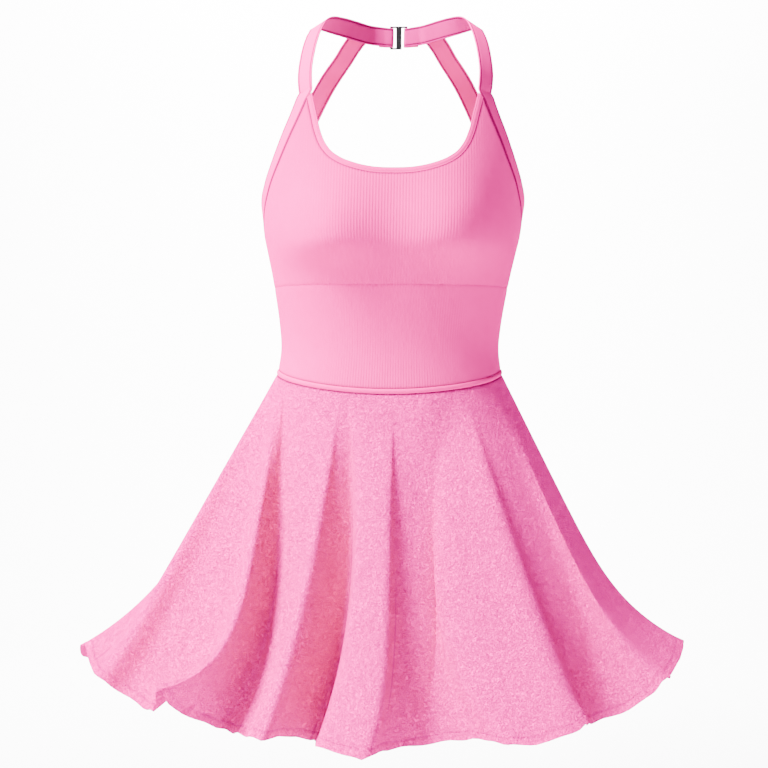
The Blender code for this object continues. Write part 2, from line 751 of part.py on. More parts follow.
def skirt_points(bearing, side, depth, height, drift, curl, share):
    """Points of lines down the skirt at a share of the way from the waist to the hem."""
    top = figure(bearing, waist_height(bearing) - WAIST_BAND_HEIGHT - 1.5 * SEAM)
    ahead = 0.75 * share + 0.25 * share**2
    x = top[:, 0] + drift * share + (side - top[:, 0] - drift) * share**curl
    y = top[:, 1] + (depth - top[:, 1]) * ahead
    z = top[:, 2] + (height - top[:, 2]) * share
    return np.stack([x, y, z], axis=-1)


def closed_normals(grid):
    """Outward directions of a grid that closes on itself column-wise."""
    round_it = np.roll(grid, -1, axis=1) - np.roll(grid, 1, axis=1)
    down = np.gradient(grid, axis=0)
    return unit(np.cross(down, round_it))


def make_skirt(material):
    """The skirt in two halves, sewn at the sides."""
    grid, bearings = skirt_grid(SKIRT_ROWS)
    inside = grid - SKIRT_WALL * closed_normals(grid)
    in_front = np.flatnonzero(abs(bearings) < SIDE_SEAM)
    behind = np.flatnonzero(abs(bearings) > SIDE_SEAM)
    behind = behind[np.argsort(bearings[behind] % 360)]
    for name, columns in (("skirt_front", in_front), ("skirt_back", behind)):
        ends = [(columns[0] - 1) % len(bearings), (columns[-1] + 1) % len(bearings)]
        outer, inner = (seam_to_seam(face, columns, ends) for face in (grid, inside))
        wall(name, material, outer, inner)


def seam_to_seam(face, columns, ends):
    """One half of the skirt, ending half a seam's width short of the middle of the next gap."""
    middle = [(face[:, columns[n]] + face[:, ends[n]]) / 2 for n in (0, -1)]
    away = [unit(face[:, columns[n]] - face[:, ends[n]]) * SEAM / 2 for n in (0, -1)]
    first, last = (middle[n] + away[n] for n in (0, 1))
    return np.concatenate([first[:, None], face[:, columns], last[:, None]], axis=1)


# ---------------------------------------------------------------- materials and scene


def cloth(name, colour, roughness, metallic=0.0):
    material = bpy.data.materials.new(name)
    material.use_nodes = True
    shader = material.node_tree.nodes["Principled BSDF"]
    shader.inputs["Base Color"].default_value = (*colour, 1)
    shader.inputs["Roughness"].default_value = roughness
    shader.inputs["Metallic"].default_value = metallic
    return material


def main():
    for thing in list(bpy.data.objects):
        bpy.data.objects.remove(thing)
    knit = cloth("ribbed_knit", (0.93, 0.29, 0.52), 0.75)
    band = cloth("knit_band", (0.94, 0.34, 0.57), 0.65)
    crepe = cloth("crinkle_crepe", (0.93, 0.32, 0.55), 0.85)
    metal = cloth("dark_nickel", (0.03, 0.03, 0.035), 0.3, 1.0)
    make_front(knit)
    make_back(knit)
    make_neck_binding(band)
    make_back_binding(band)
    make_waist_band(band)
    make_band(band, -1, -CLASP_LEFT)
    make_band(band, 1, CLASP_RIGHT)
    make_back_strap(band, -1)
    make_back_strap(band, 1)
    make_clasp(metal)
    make_skirt(crepe)
    waist = bpy.data.objects.new("waist_centre", None)
    bpy.context.collection.objects.link(waist)
    waist.location = (-SWAY * NAPE_HEIGHT, -NAPE_DEPTH, -NAPE_HEIGHT)
    for thing in bpy.data.objects:
        if thing is not waist:
            thing.parent = waist


main()
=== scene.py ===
"""Looks of the halter athletic dress: thin cloth on the forms of the solids, ribs, crepe, stitches.

Metres in the row frame: the origin is the nape, the front faces -Y, and +X is on the right of
the front view. The garment is worked out about the centre of the waist, and each piece is moved
to the row frame as its mesh is made.
"""

from collections import namedtuple

import bpy
import numpy as np
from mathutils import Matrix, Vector
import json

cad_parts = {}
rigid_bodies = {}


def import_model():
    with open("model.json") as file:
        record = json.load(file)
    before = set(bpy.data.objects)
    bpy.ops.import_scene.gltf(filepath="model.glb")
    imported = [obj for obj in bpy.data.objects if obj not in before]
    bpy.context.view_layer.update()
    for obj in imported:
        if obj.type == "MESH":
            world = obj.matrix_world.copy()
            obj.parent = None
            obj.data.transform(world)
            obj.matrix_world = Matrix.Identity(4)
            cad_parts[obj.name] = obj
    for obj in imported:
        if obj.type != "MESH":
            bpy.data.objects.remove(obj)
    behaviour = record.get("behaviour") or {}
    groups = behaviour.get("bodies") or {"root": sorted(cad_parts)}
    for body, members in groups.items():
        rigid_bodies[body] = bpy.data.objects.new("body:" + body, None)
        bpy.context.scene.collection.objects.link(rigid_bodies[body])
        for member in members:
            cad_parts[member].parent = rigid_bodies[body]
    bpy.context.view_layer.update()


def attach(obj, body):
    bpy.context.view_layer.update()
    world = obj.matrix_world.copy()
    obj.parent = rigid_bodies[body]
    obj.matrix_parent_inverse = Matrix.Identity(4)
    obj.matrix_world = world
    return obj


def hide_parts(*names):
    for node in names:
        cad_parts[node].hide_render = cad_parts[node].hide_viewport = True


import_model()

# ---------------------------------------------------------------- driving sizes

NAPE_HEIGHT = 0.398  # from the waist centre up to the middle of the neck band
NAPE_DEPTH = 0.0645  # from the waist centre back to the neck band's inner face
SWAY = 0.020  # the bodice leans to +X by this share of its height

MEAN_RADIUS = 0.13  # of the bodice, to turn bearings into metres
SIDE_RADIUS = 0.1  # of the bodice's turn at the side seam

BAND_WIDTH = 0.022
BINDING_WIDTH = 0.0065
BINDING_RISE = 0.0004  # how far the binding stands out from the knit
WAIST_BAND_HEIGHT = 0.0052
WAIST_BAND_RISE = 0.0007

RIB_PITCH = np.radians(1.30)  # one rib to the next, round the figure
BUST_RIBS = 35  # ribs on each side of the centre front
MIDRIFF_RIBS = 33
BACK_RIBS = np.radians(44)  # width of the back's ribbed part on each side
DRAW_IN = 0.9  # columns draw together above the underarm, share per metre of height
UNDERBUST = 0.107  # height of the seam between bust panel and midriff

# The figure that fills the dress: height above the waist centre, half width,
# depth of the front without the bust, depth of the back.
Section = namedtuple("Section", "height side front back")
SECTIONS = [
    Section(-0.030, 0.1330, 0.1000, 0.0950),
    Section(0.000, 0.1275, 0.0970, 0.0910),
    Section(0.040, 0.1215, 0.0950, 0.0870),
    Section(0.067, 0.1238, 0.0970, 0.0890),
    Section(0.094, 0.1280, 0.1015, 0.0940),
    Section(0.121, 0.1330, 0.1060, 0.0990),
    Section(0.148, 0.1390, 0.1090, 0.1030),
    Section(0.165, 0.1428, 0.1105, 0.1050),
    Section(0.182, 0.1455, 0.1110, 0.1060),
    Section(0.207, 0.1485, 0.1105, 0.1070),
    Section(0.244, 0.1530, 0.1080, 0.1070),
    Section(0.269, 0.1550, 0.1045, 0.1050),
    Section(0.295, 0.1565, 0.1010, 0.1030),
    Section(0.325, 0.1580, 0.0980, 0.1000),
]
SQUARENESS = 2.3  # of every section, 2 is an ellipse

BUST_SIDE = 0.073  # bust point from the centre front
BUST_HEIGHT = 0.157
BUST_RISE = 0.0240
BUST_HALF_WIDTH = 0.058
BUST_ABOVE = 0.066
BUST_BELOW = 0.029

# Free edge of the scooped neck, from the centre to the strap.
Neck = namedtuple("Neck", "side height")
NECKLINE = [
    Neck(0.0000, 0.2323),
    Neck(0.0230, 0.2334),
    Neck(0.0423, 0.2377),
    Neck(0.0581, 0.2441),
    Neck(0.0675, 0.2508),
    Neck(0.0745, 0.2600),
    Neck(0.0800, 0.2733),
    Neck(0.0850, 0.2936),
    Neck(0.0902, 0.3158),
]
NECK_SLANT = 0.9  # the neck binding ends along the band: lower by this share of its width

# Seam of the arm band on the front panel, from the underarm up to the strap.
Arm = namedtuple("Arm", "height side")
ARM_SEAM = [
    Arm(0.1650, 0.1428),
    Arm(0.1707, 0.1431),
    Arm(0.1820, 0.1425),
    Arm(0.1944, 0.1413),
    Arm(0.2067, 0.1383),
    Arm(0.2190, 0.1347),
    Arm(0.2439, 0.1246),
    Arm(0.2691, 0.1139),
    Arm(0.2945, 0.1023),
    Arm(0.3105, 0.0955),
]

# The band's neck-side edge above the bodice, and the way across it to the shoulder
# side: out from the centre, back, up.
Lie = namedtuple("Lie", "side depth height out back up")
ARM_LIE = [  # on the arm seam, where side and depth come from the figure
    Lie(None, None, 0.1650, 0.06, 0.00, 1.00),
    Lie(None, None, 0.1820, 0.16, 0.55, 0.80),
    Lie(None, None, 0.2067, 0.28, 0.93, 0.25),
    Lie(None, None, 0.2439, 0.43, 0.90, 0.05),
    Lie(None, None, 0.2800, 0.53, 0.84, 0.00),
    Lie(None, None, 0.3105, 0.60, 0.80, -0.05),
]
STRAP = [
    Lie(0.0922, -0.0846, 0.3158, 0.62, 0.78, -0.07),
    Lie(0.0910, -0.0838, 0.3188, 0.64, 0.76, -0.09),
    Lie(0.0912, -0.0815, 0.3260, 0.67, 0.72, -0.16),
    Lie(0.0917, -0.0750, 0.3393, 0.71, 0.65, -0.28),
    Lie(0.0890, -0.0520, 0.3688, 0.77, 0.50, -0.40),
    Lie(0.0856, -0.0330, 0.3870, 0.80, 0.38, -0.46),
    Lie(0.0818, -0.0150, 0.4005, 0.80, 0.22, -0.52),
    Lie(0.0780, 0.0010, 0.4095, 0.80, 0.12, -0.55),
    Lie(0.0725, 0.0160, 0.4150, 0.68, 0.25, -0.68),
    Lie(0.0602, 0.0357, 0.4166, 0.35, 0.30, -0.88),
    Lie(0.0450, 0.0510, 0.4145, 0.12, 0.20, -0.96),
    Lie(0.0321, 0.0588, 0.4115, 0.05, 0.12, -0.99),
]
NECK_RADIUS = 0.0765  # of the neck band, seen from above
NECK_CENTRE = -0.009
NECK_EDGE = 0.409  # upper edge of the neck band at the clasp

CLASP_LOOP = 0.0015  # inside radius of the cloth that is folded over a bar
CLASP_LEFT = -0.0060  # middle of the bar in the left loop
CLASP_RIGHT = 0.0122  # middle of the bar in the right loop
CLASP_TAIL = np.array([0.004, 0.008, 0.013])  # stations of the turned-back end, from the bar
TAIL_SPACE = 0.0003  # between that end and the band

# Lower edge of the back strap where it is sewn to the back, then its inner edge up to the
# neck band.
BACK_LIE = [  # side and depth come from the figure, height from the back's upper edge
    Lie(None, None, 0.1652, 0.06, 0.00, 1.00),
    Lie(None, None, 0.1680, 0.02, -0.05, 1.00),
    Lie(None, None, 0.1780, 0.48, -0.38, 0.78),
]
BACK_STRAP = [
    Lie(0.1180, 0.0945, 0.2330, 0.85, -0.40, 0.36),
    Lie(0.1050, 0.1030, 0.2670, 0.88, -0.28, 0.36),
    Lie(0.0918, 0.1040, 0.2980, 0.88, -0.15, 0.42),
    Lie(0.0690, 0.0920, 0.3427, 0.84, -0.20, 0.52),
    Lie(0.0505, 0.0750, 0.3690, 0.80, -0.40, 0.50),
    Lie(0.0385, 0.0645, 0.3860, 0.80, -0.34, 0.50),
    Lie(0.0300, 0.0648, 0.3965, 0.80, -0.42, 0.42),
]

# The waist seam dips at the front and a little at the back.
WAIST_SIDE = 0.0170
WAIST_FRONT_DIP = 0.0224
WAIST_BACK_DIP = 0.0060

BACK_TOP_SIDE = 0.1650  # top of the back panel at the side seam
BACK_TOP_STRAP = 0.1780  # and under the straps
BACK_TOP_CENTRE = 0.1640
BACK_TOP_EASE = 0.002  # the edge is still this far above the centre on its way down
BACK_STRAP_BEARING = 118.0  # degrees round the figure where a strap leaves the back panel

# Lines down the skirt, on crests, hollows and the slopes between, from the left tip past
# the front to the right tip: bearing at the waist in degrees, then the hem point. A line
# sets out sideways so that it would have gone `drift` by the hem, and makes up the rest
# towards the hem, the later the higher its `curl`.
Line = namedtuple("Line", "bearing side depth height drift curl")
FRONT_LINES = [
    Line(-96.0, -0.338, -0.020, -0.287, -0.157, 7),
    Line(-92.0, -0.327, -0.060, -0.304, -0.165, 7),
    Line(-88.0, -0.306, -0.125, -0.311, -0.170, 8),
    Line(-82.0, -0.281, -0.120, -0.329, -0.138, 4),
    Line(-75.0, -0.251, -0.160, -0.339, -0.075, 8),
    Line(-67.0, -0.236, -0.210, -0.320, -0.047, 10),
    Line(-62.5, -0.220, -0.180, -0.337, -0.034, 8),
    Line(-57.0, -0.176, -0.150, -0.360, -0.008, 5),
    Line(-31.0, -0.150, -0.185, -0.361, -0.045, 4),
    Line(-25.0, -0.132, -0.210, -0.362, -0.048, 3),
    Line(-22.9, -0.109, -0.170, -0.364, -0.023, 5),
    Line(-20.5, -0.079, -0.145, -0.373, 0.021, 3),
    Line(-17.5, -0.074, -0.208, -0.370, 0.019, 3),
    Line(-10.3, -0.049, -0.228, -0.372, -0.010, 3),
    Line(-0.5, -0.026, -0.240, -0.374, -0.005, 9),
    Line(2.5, -0.008, -0.200, -0.375, 0.010, 5),
    Line(7.0, 0.013, -0.182, -0.374, 0.055, 5),
    Line(17.0, 0.052, -0.180, -0.369, 0.022, 3),
    Line(25.4, 0.093, -0.190, -0.364, -0.029, 4),
    Line(31.5, 0.125, -0.218, -0.366, -0.026, 4),
    Line(33.8, 0.162, -0.222, -0.362, 0.052, 3),
    Line(36.0, 0.196, -0.218, -0.349, 0.098, 3),
    Line(39.0, 0.207, -0.165, -0.353, 0.125, 3),
    Line(49.4, 0.224, -0.128, -0.354, 0.150, 6),
    Line(55.0, 0.259, -0.130, -0.340, 0.155, 5),
    Line(62.0, 0.295, -0.132, -0.311, 0.132, 6),
    Line(66.0, 0.304, -0.080, -0.313, 0.138, 6),
    Line(79.0, 0.322, -0.030, -0.300, 0.144, 7),
    Line(92.0, 0.331, 0.015, -0.286, 0.149, 8),
]
BACK_FOLDS = 8
BACK_REACH = 0.262  # hem behind the waist centre, mean of crests and hollows
BACK_FOLD_DEPTH = 0.034
BACK_UNEVEN = 0.28  # how much the folds' depths differ
BACK_FLAT = 0.06  # how much the reach differs round the back
BACK_SIDEWAYS = 0.45  # share of a fold's depth by which it also goes sideways
BACK_DRIFT = 0.45
BACK_CURL = 4
BACK_HEM = -0.352
SIDE_SEAM = 90.0  # bearing of the side seams of the skirt

# ---------------------------------------------------------------- plain geometry


def curve(knots, values, at):
    """Points at `at` on the smooth curve that passes `values` at the rising `knots`."""
    knots, values, at = (np.asarray(item, float) for item in (knots, values, at))
    slopes = np.gradient(values, knots, axis=0)
    left = np.clip(np.searchsorted(knots, at, side="right") - 1, 0, len(knots) - 2)
    width = knots[left + 1] - knots[left]
    share = (at - knots[left]) / width
    if values.ndim > 1:
        width, share = width[..., None], share[..., None]
    rest = 1 - share
    return (
        rest**2 * ((1 + 2 * share) * values[left] + share * width * slopes[left])
        + share**2 * ((3 - 2 * share) * values[left + 1] - rest * width * slopes[left + 1])
    )


def unit(vectors):
    return vectors / np.linalg.norm(vectors, axis=-1, keepdims=True)


def lengths(points):
    """Distance along a line of points, 0 at the first."""
    return np.concatenate([[0], np.cumsum(np.linalg.norm(np.diff(points, axis=0), axis=1))])


def column(rows, name):
    return np.array([getattr(row, name) for row in rows])


# ---------------------------------------------------------------- the figure


def figure(bearing, height):
    """Outer face of the worn knit. The bearing is 0 at the front and 90 degrees at +X."""
    heights = column(SECTIONS, "height")
    side, front, back = (
        curve(heights, column(SECTIONS, name), height) for name in ("side", "front", "back")
    )
    across, ahead = np.sin(bearing), np.cos(bearing)
    reach = (abs(across) ** SQUARENESS + abs(ahead) ** SQUARENESS) ** (-1 / SQUARENESS)
    x = side * across * reach
    y = -np.where(ahead > 0, front, back) * ahead * reach
    above = np.where(height > BUST_HEIGHT, BUST_ABOVE, BUST_BELOW)
    swell = np.exp(-(((height - BUST_HEIGHT) / above) ** 2))
    cups = sum(np.exp(-(((x - mid) / BUST_HALF_WIDTH) ** 2)) for mid in (-BUST_SIDE, BUST_SIDE))
    y = y - BUST_RISE * swell * cups * np.clip(2 * ahead, 0, 1)
    return np.stack([x, y, height + 0 * x], axis=-1)


def outward(bearing, height):
    """Direction square to the figure's surface, pointing out."""
    step = 1e-4
    round_it = figure(bearing + step, height) - figure(bearing - step, height)
    up_it = figure(bearing, height + step) - figure(bearing, height - step)
    return unit(np.cross(round_it, up_it))


def bearing_at(side, height):
    """Bearing of the front surface's point that is `side` from the centre."""
    heights = column(SECTIONS, "height")
    share = np.clip(side / curve(heights, column(SECTIONS, "side"), height), -1, 1)
    ahead = (1 - abs(share) ** SQUARENESS) ** (1 / SQUARENESS)
    return np.arctan2(share, ahead)


def waist_height(bearing):
    """Height of the waist seam: the bodice's lower edge."""
    ahead = np.cos(bearing)
    dip = np.where(ahead > 0, WAIST_FRONT_DIP, WAIST_BACK_DIP)
    return WAIST_SIDE - dip * abs(ahead) ** 1.5


# ---------------------------------------------------------------- cloth of the scene

NAPE = np.array([-SWAY * NAPE_HEIGHT, -NAPE_DEPTH, -NAPE_HEIGHT])

KNIT = 0.0011  # thickness of the shells
CREPE = 0.0010
BAND = 0.0018
JOIN = 0.00005  # half the space between two sewn shells
BINDING_TUCK = 0.0006  # the knit's edge goes this far up into the neck binding
BAND_LAY = 0.0001  # how far a band's face is sunk at its sewn edge

RIB_RELIEF = 0.00034
RIB_POINT = 0.8  # below 1 the crests are broad
RIB_FADE = 0.8  # share of the ribbed width at which the ribs are half gone
RIB_FADE_SOFT = 0.09  # radians
RIB_STEPS = 6  # columns a rib
SIDE_STEPS = 70  # columns from the ribs to the side seam
END_ROWS = np.array([0, 0.004, 0.009, 0.017, 0.03])  # rows near a seam, shares of the height
INNER_STEP = 4  # columns of the outer face for one of the inner face

EDGE_ROLL = 0.0006  # how far a panel sinks into a seam, and over what distance
EDGE_SOFT = 0.0016
SEAM_LINE = 0.0015  # reach of the painted shade line in a seam
SEAM_SHADE = 0.9  # how strong that painted shade is
WAIST_SHADE = 0.6  # painted shade at the waist seam
UNDERBUST_SHADE = 0.12  # painted shade at the seam under the bust

EDGE_ROUND = 0.48  # radius of a strip's edges, share of its thickness
STITCH_IN = 0.0023  # stitch line from a band's edge
BINDING_STITCH = 0.0014  # and from a binding's
STITCH_GROOVE = 0.00035
STITCH_SOFT = 0.0008
STITCH_ROWS = 0.0005 * np.array([-2, -1, -0.5, 0, 0.5, 1, 2])  # rows of points across a groove
STITCH_PITCH = 0.0026
THREAD = 0.00035  # half width of the thread
BAND_SHADE = 0.9  # painted shade of the stitch lines on the bands
PIPING_CROWN = 0.0006  # the waist's piping is rounder than a flat strip
BINDING_END = 2  # degrees from the strap to the end of the back's binding
BAND_STEPS = 4  # stations from one row of a band to the next
FREE_ROWS = 4  # rows over which a band turns from the panel to lying free

LINE_STEP = 0.8  # degrees from column to column of the skirt
LINE_COLUMNS = 6  # fewest columns from one line to the next
LINES_OVER = 3  # lines said twice where the skirt closes on itself
FOLD_START = 0.17  # share of the way down over which the folds set in
CREST_SOFT = 0.010  # crests and hollows are rounded over this run of the hem
CONE_FRONT = 0.185  # reach of the skirt at the hem without its folds
CONE_BACK = 0.24
CONE_FLARE = 0.25  # share of that reach that comes late, towards the hem

HEM = 0.0085  # stitch line above the hem
HEM_SHADE = 0.35  # how strong its painted shade is, and its half width
HEM_LINE = 0.0009
HEM_FOLD = 0.0002  # the hem's double cloth stands out, and its stitch line sinks in
HEM_GROOVE = 0.0004
HEM_GROOVE_SOFT = 0.0008
PUCKER = 0.00022  # small puckers along the stitched hem
PUCKER_PITCH = 0.011
PUCKER_REACH = 0.010
HEM_WAVE = 0.0009  # the hem's small waves, and how far up they reach
HEM_WAVE_STEP = 0.0052
WAVE_REACH = 0.018
HEM_DROP = 0.0035  # the hem's own weight draws it down
HEM_DROP_REACH = 0.08

# Where the hem curls: bearing of the line, half width, reach up, and the way it goes.
HemCurl = namedtuple("HemCurl", "bearing width reach lift push")
HEM_CURLS = [
    HemCurl(-91.0, 0.012, 0.020, 0.006, 0.003),
    HemCurl(-66.8, 0.012, 0.034, 0.012, 0.006),
    HemCurl(-62.0, 0.008, 0.016, -0.002, -0.005),
    HemCurl(-3.0, 0.016, 0.022, -0.003, -0.003),
    HemCurl(36.5, 0.012, 0.024, 0.004, 0.003),
    HemCurl(61.0, 0.010, 0.022, 0.004, 0.002),
]
CURL_LAW = 1.5  # how sharply a curl ends upwards


def mesh_piece(name, material, points, faces, uv):
    """A piece in the row frame; uv is metres along and across, 1 on the wrong side (on a band's
    inner face this carries a painted shade), and the share of painted shade in a seam.
    """
    mesh = bpy.data.meshes.new(name)
    mesh.from_pydata((points + NAPE).tolist(), [], faces)
    mesh.validate()
    layer = mesh.uv_layers.new(name="cloth")
    corner = np.zeros(len(mesh.loops), int)
    mesh.loops.foreach_get("vertex_index", corner)
    layer.data.foreach_set("uv", uv[corner, :2].astype(np.float32).ravel())
    for number, word in ((2, "inside"), (3, "seam")):
        attribute = mesh.attributes.new(word, "FLOAT", "POINT")
        attribute.data.foreach_set("value", uv[:, number].astype(np.float32))
    mesh.shade_smooth()
    mesh.set_sharp_from_angle(angle=np.radians(65))
    mesh.materials.append(material)
    piece = bpy.data.objects.new(name, mesh)
    bpy.context.collection.objects.link(piece)
    return piece


def in_place(piece, node):
    """Put a piece in its node's place and hide that node."""
    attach(piece, "root")
    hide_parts(node)


def grid_faces(index):
    """Quads of a grid of vertex numbers."""
    near, far = index[:-1], index[1:]
    corners = (near[:, :-1], near[:, 1:], far[:, 1:], far[:, :-1])
    return np.stack([corner.ravel() for corner in corners], axis=1).tolist()


def strip(first, second, first_marks, second_marks):
    """Triangles between two rows of vertices whose marks rise together."""
    faces, i, j = [], 0, 0
    while i < len(first) - 1 or j < len(second) - 1:
        ahead = j == len(second) - 1
        if ahead or (i < len(first) - 1 and first_marks[i + 1] <= second_marks[j + 1]):
            faces.append([int(first[i]), int(first[i + 1]), int(second[j])])
            i += 1
        else:
            faces.append([int(first[i]), int(second[j + 1]), int(second[j])])
            j += 1
    return faces


def shell(name, material, outer, inner, marks, inner_marks, uv, inner_uv):
    """Closed cloth between an outer and an inner grid of points (rows, columns, 3).

    The uv of a grid is metres along, metres across and the share of the painted seam shade.
    """
    front = np.arange(outer.shape[0] * outer.shape[1]).reshape(outer.shape[:2])
    back = front.size + np.arange(inner.shape[0] * inner.shape[1]).reshape(inner.shape[:2])
    faces = grid_faces(front) + grid_faces(back[:, ::-1])
    faces += [face[::-1] for face in strip(front[0], back[0], marks, inner_marks)]
    faces += strip(front[-1], back[-1], marks, inner_marks)
    faces += grid_faces(np.stack([back[:, 0], front[:, 0]], axis=1))
    faces += grid_faces(np.stack([front[:, -1], back[:, -1]], axis=1))
    points = np.concatenate([outer.reshape(-1, 3), inner.reshape(-1, 3)])
    both = np.concatenate([uv.reshape(-1, 3), inner_uv.reshape(-1, 3)])
    both = np.insert(both, 2, np.arange(len(both)) >= front.size, axis=1)
    return mesh_piece(name, material, points, faces, both)


def hose(name, material, rings, uv, closed=False):
    """A piece swept through `rings` (stations, corners, 3), closed on itself or at its ends."""
    stations, corners = rings.shape[:2]
    index = np.arange(stations * corners).reshape(stations, corners)
    around = np.concatenate([index, index[:, :1]], axis=1)
    if closed:
        faces = grid_faces(np.concatenate([around, around[:1]], axis=0))
    else:
        faces = grid_faces(around) + [index[0, ::-1].tolist(), index[-1].tolist()]
    return mesh_piece(name, material, rings.reshape(-1, 3), faces, uv.reshape(-1, 4))


def sway(points):
    """Lean the bodice's points to +X with their height."""
    return points + SWAY * points[..., 2:] * [1, 0, 0]


# ---------------------------------------------------------------- bodice


def neck_edge(count, inset=0.0):
    """The neckline from the left strap to the right, moved `inset` into the knit: side, height."""
    right = np.array(NECKLINE)
    both = np.concatenate([right[:0:-1] * [-1, 1], right])
    at = lengths(both)
    fine = curve(at, both, np.linspace(0, at[-1], 6 * count))
    along = unit(np.gradient(fine, axis=0))
    fine = fine + inset * np.stack([along[:, 1], -along[:, 0]], axis=1)
    fine = fine[fine[:, 1] <= NECKLINE[-1].height - NECK_SLANT * inset]
    at = lengths(fine)
    return curve(at, fine, np.linspace(0, at[-1], count))


def grain(height):
    """Spread of the knit's columns at a height: they draw together above the underarm."""
    return 1 - DRAW_IN * np.clip(height - ARM_SEAM[0].height, 0, 1)


def neck_top(marks):
    """Height at which each column of the front meets the neck binding."""
    neck = neck_edge(400, BINDING_WIDTH + JOIN)
    neck = neck[neck[:, 0] >= 0]
    neck_marks = bearing_at(neck[:, 0], neck[:, 1]) / grain(neck[:, 1])
    return np.interp(abs(marks), neck_marks, neck[:, 1], right=1)


def arm_top(marks):
    """Height at which each column of the front meets the arm band."""
    height = np.linspace(ARM_SEAM[0].height, ARM_SEAM[-1].height, 200)
    side = curve(column(ARM_SEAM, "height"), column(ARM_SEAM, "side"), height)
    arm_marks = bearing_at(side, height) / grain(height)
    return np.interp(abs(marks), arm_marks[::-1], height[::-1], left=1)


def front_top(marks):
    return np.minimum(neck_top(marks) + BINDING_TUCK, arm_top(marks))


def back_top(bearing):
    """Upper edge of the back: highest under the straps, lower between them."""
    degrees = abs(np.degrees(bearing))
    knots = [80, 90, BACK_STRAP_BEARING, 150, 180, 190]
    heights = [
        BACK_TOP_SIDE,
        BACK_TOP_SIDE,
        BACK_TOP_STRAP,
        BACK_TOP_CENTRE + BACK_TOP_EASE,
        BACK_TOP_CENTRE,
        BACK_TOP_CENTRE,
    ]
    return curve(knots, heights, np.where(degrees > 180, 360 - degrees, degrees))


def strap_share(bearing):
    """1 between the straps, where the back has its binding, and 0 where a strap is sewn on."""
    degrees = np.degrees(bearing)
    inside = np.minimum(degrees, 360 - degrees) - BACK_STRAP_BEARING
    return np.clip(inside / 2, 0, 1)


def ribs(marks, edge):
    """Relief of the knit's ribs, fading out beyond the `edge` mark."""
    crest = (0.5 + 0.5 * np.cos(2 * np.pi * marks / RIB_PITCH)) ** RIB_POINT
    fade = 1 / (1 + np.exp((abs(marks) - RIB_FADE * edge) / RIB_FADE_SOFT))
    return RIB_RELIEF * crest * fade


def straight(heights):
    """The grain of a panel whose columns don't draw together."""
    return 1 + 0 * heights


def knit_panel(name, marks, low, high, rows, relief, draw, seams):
    """One knit panel between two heights given for each column, sunk at its seams.

    `seams` is how strong the painted shade at the lower and the upper seam is.
    """
    inner = np.append(np.arange(0, len(marks), INNER_STEP), len(marks) - 1)
    inner_marks = marks[np.unique(inner)]
    shares = [END_ROWS, np.linspace(0.05, 0.95, rows), 1 - END_ROWS[::-1]]
    shares = np.concatenate(shares)[:, None]

    def face(marks, out):
        heights = low(marks) * (1 - shares) + high(marks) * shares
        bearings = marks * draw(heights)
        slant = np.hypot(1, np.gradient(high(marks), marks) / MEAN_RADIUS)
        ends = heights - low(marks), (high(marks) - heights) / slant
        reach = np.minimum(*ends)
        to_side = np.minimum(marks - marks[0], marks[-1] - marks)
        reach = np.minimum(reach, MEAN_RADIUS * to_side)
        out = out - EDGE_ROLL * np.exp(-reach / EDGE_SOFT)
        points = figure(bearings, heights) + out[..., None] * outward(bearings, heights)
        # painted shade: darker towards each seam, as strong as `seams` says
        shade = sum(show * np.exp(-((end / SEAM_LINE) ** 2)) for show, end in zip(seams, ends))
        return sway(points), np.stack([MEAN_RADIUS * bearings, heights, shade], axis=-1)

    outer, uv = face(marks, relief(marks) + 0 * shares)
    inner, inner_uv = face(inner_marks, 0 * inner_marks - KNIT + 0 * shares)
    return shell(name, knit, outer[::-1], inner[::-1], marks, inner_marks, uv[::-1], inner_uv[::-1])


def front_marks(count):
    """Columns of the front, with more of them over its `count` ribs a side."""
    edge = count * RIB_PITCH
    last = np.pi / 2 - JOIN / SECTIONS[4].front
    middle = np.linspace(-edge, edge, 2 * count * RIB_STEPS + 1)
    side = np.linspace(edge, last, SIDE_STEPS + 1)[1:]
    return np.concatenate([-side[::-1], middle, side])


def make_front():
    bust = knit_panel(
        "bust_knit",
        front_marks(BUST_RIBS),
        low=lambda marks: UNDERBUST + JOIN + 0 * marks,
        high=front_top,
        rows=62,
        relief=lambda marks: ribs(marks, BUST_RIBS * RIB_PITCH),
        draw=grain,
        seams=(UNDERBUST_SHADE, SEAM_SHADE),
    )
    in_place(bust, "front_bust_panel")
    midriff = knit_panel(
        "midriff_knit",
        front_marks(MIDRIFF_RIBS),
        low=lambda marks: waist_height(marks) + JOIN,
        high=lambda marks: UNDERBUST - JOIN + 0 * marks,
        rows=40,
        relief=lambda marks: ribs(marks, MIDRIFF_RIBS * RIB_PITCH),
        draw=straight,
        seams=(WAIST_SHADE, UNDERBUST_SHADE),
    )
    in_place(midriff, "front_midriff_panel")


def make_back():
    edge = np.pi / 2 + JOIN / SECTIONS[4].back
    marks = np.linspace(edge, 2 * np.pi - edge, 560)
    back = knit_panel(
        "back_knit",
        marks,
        low=lambda marks: waist_height(marks) + JOIN,
        high=lambda marks: back_top(marks) - JOIN - BINDING_WIDTH * strap_share(marks),
        rows=56,
        relief=lambda marks: ribs(marks - np.pi, BACK_RIBS),
        draw=straight,
        seams=(WAIST_SHADE, SEAM_SHADE),
    )
    in_place(back, "back_panel")


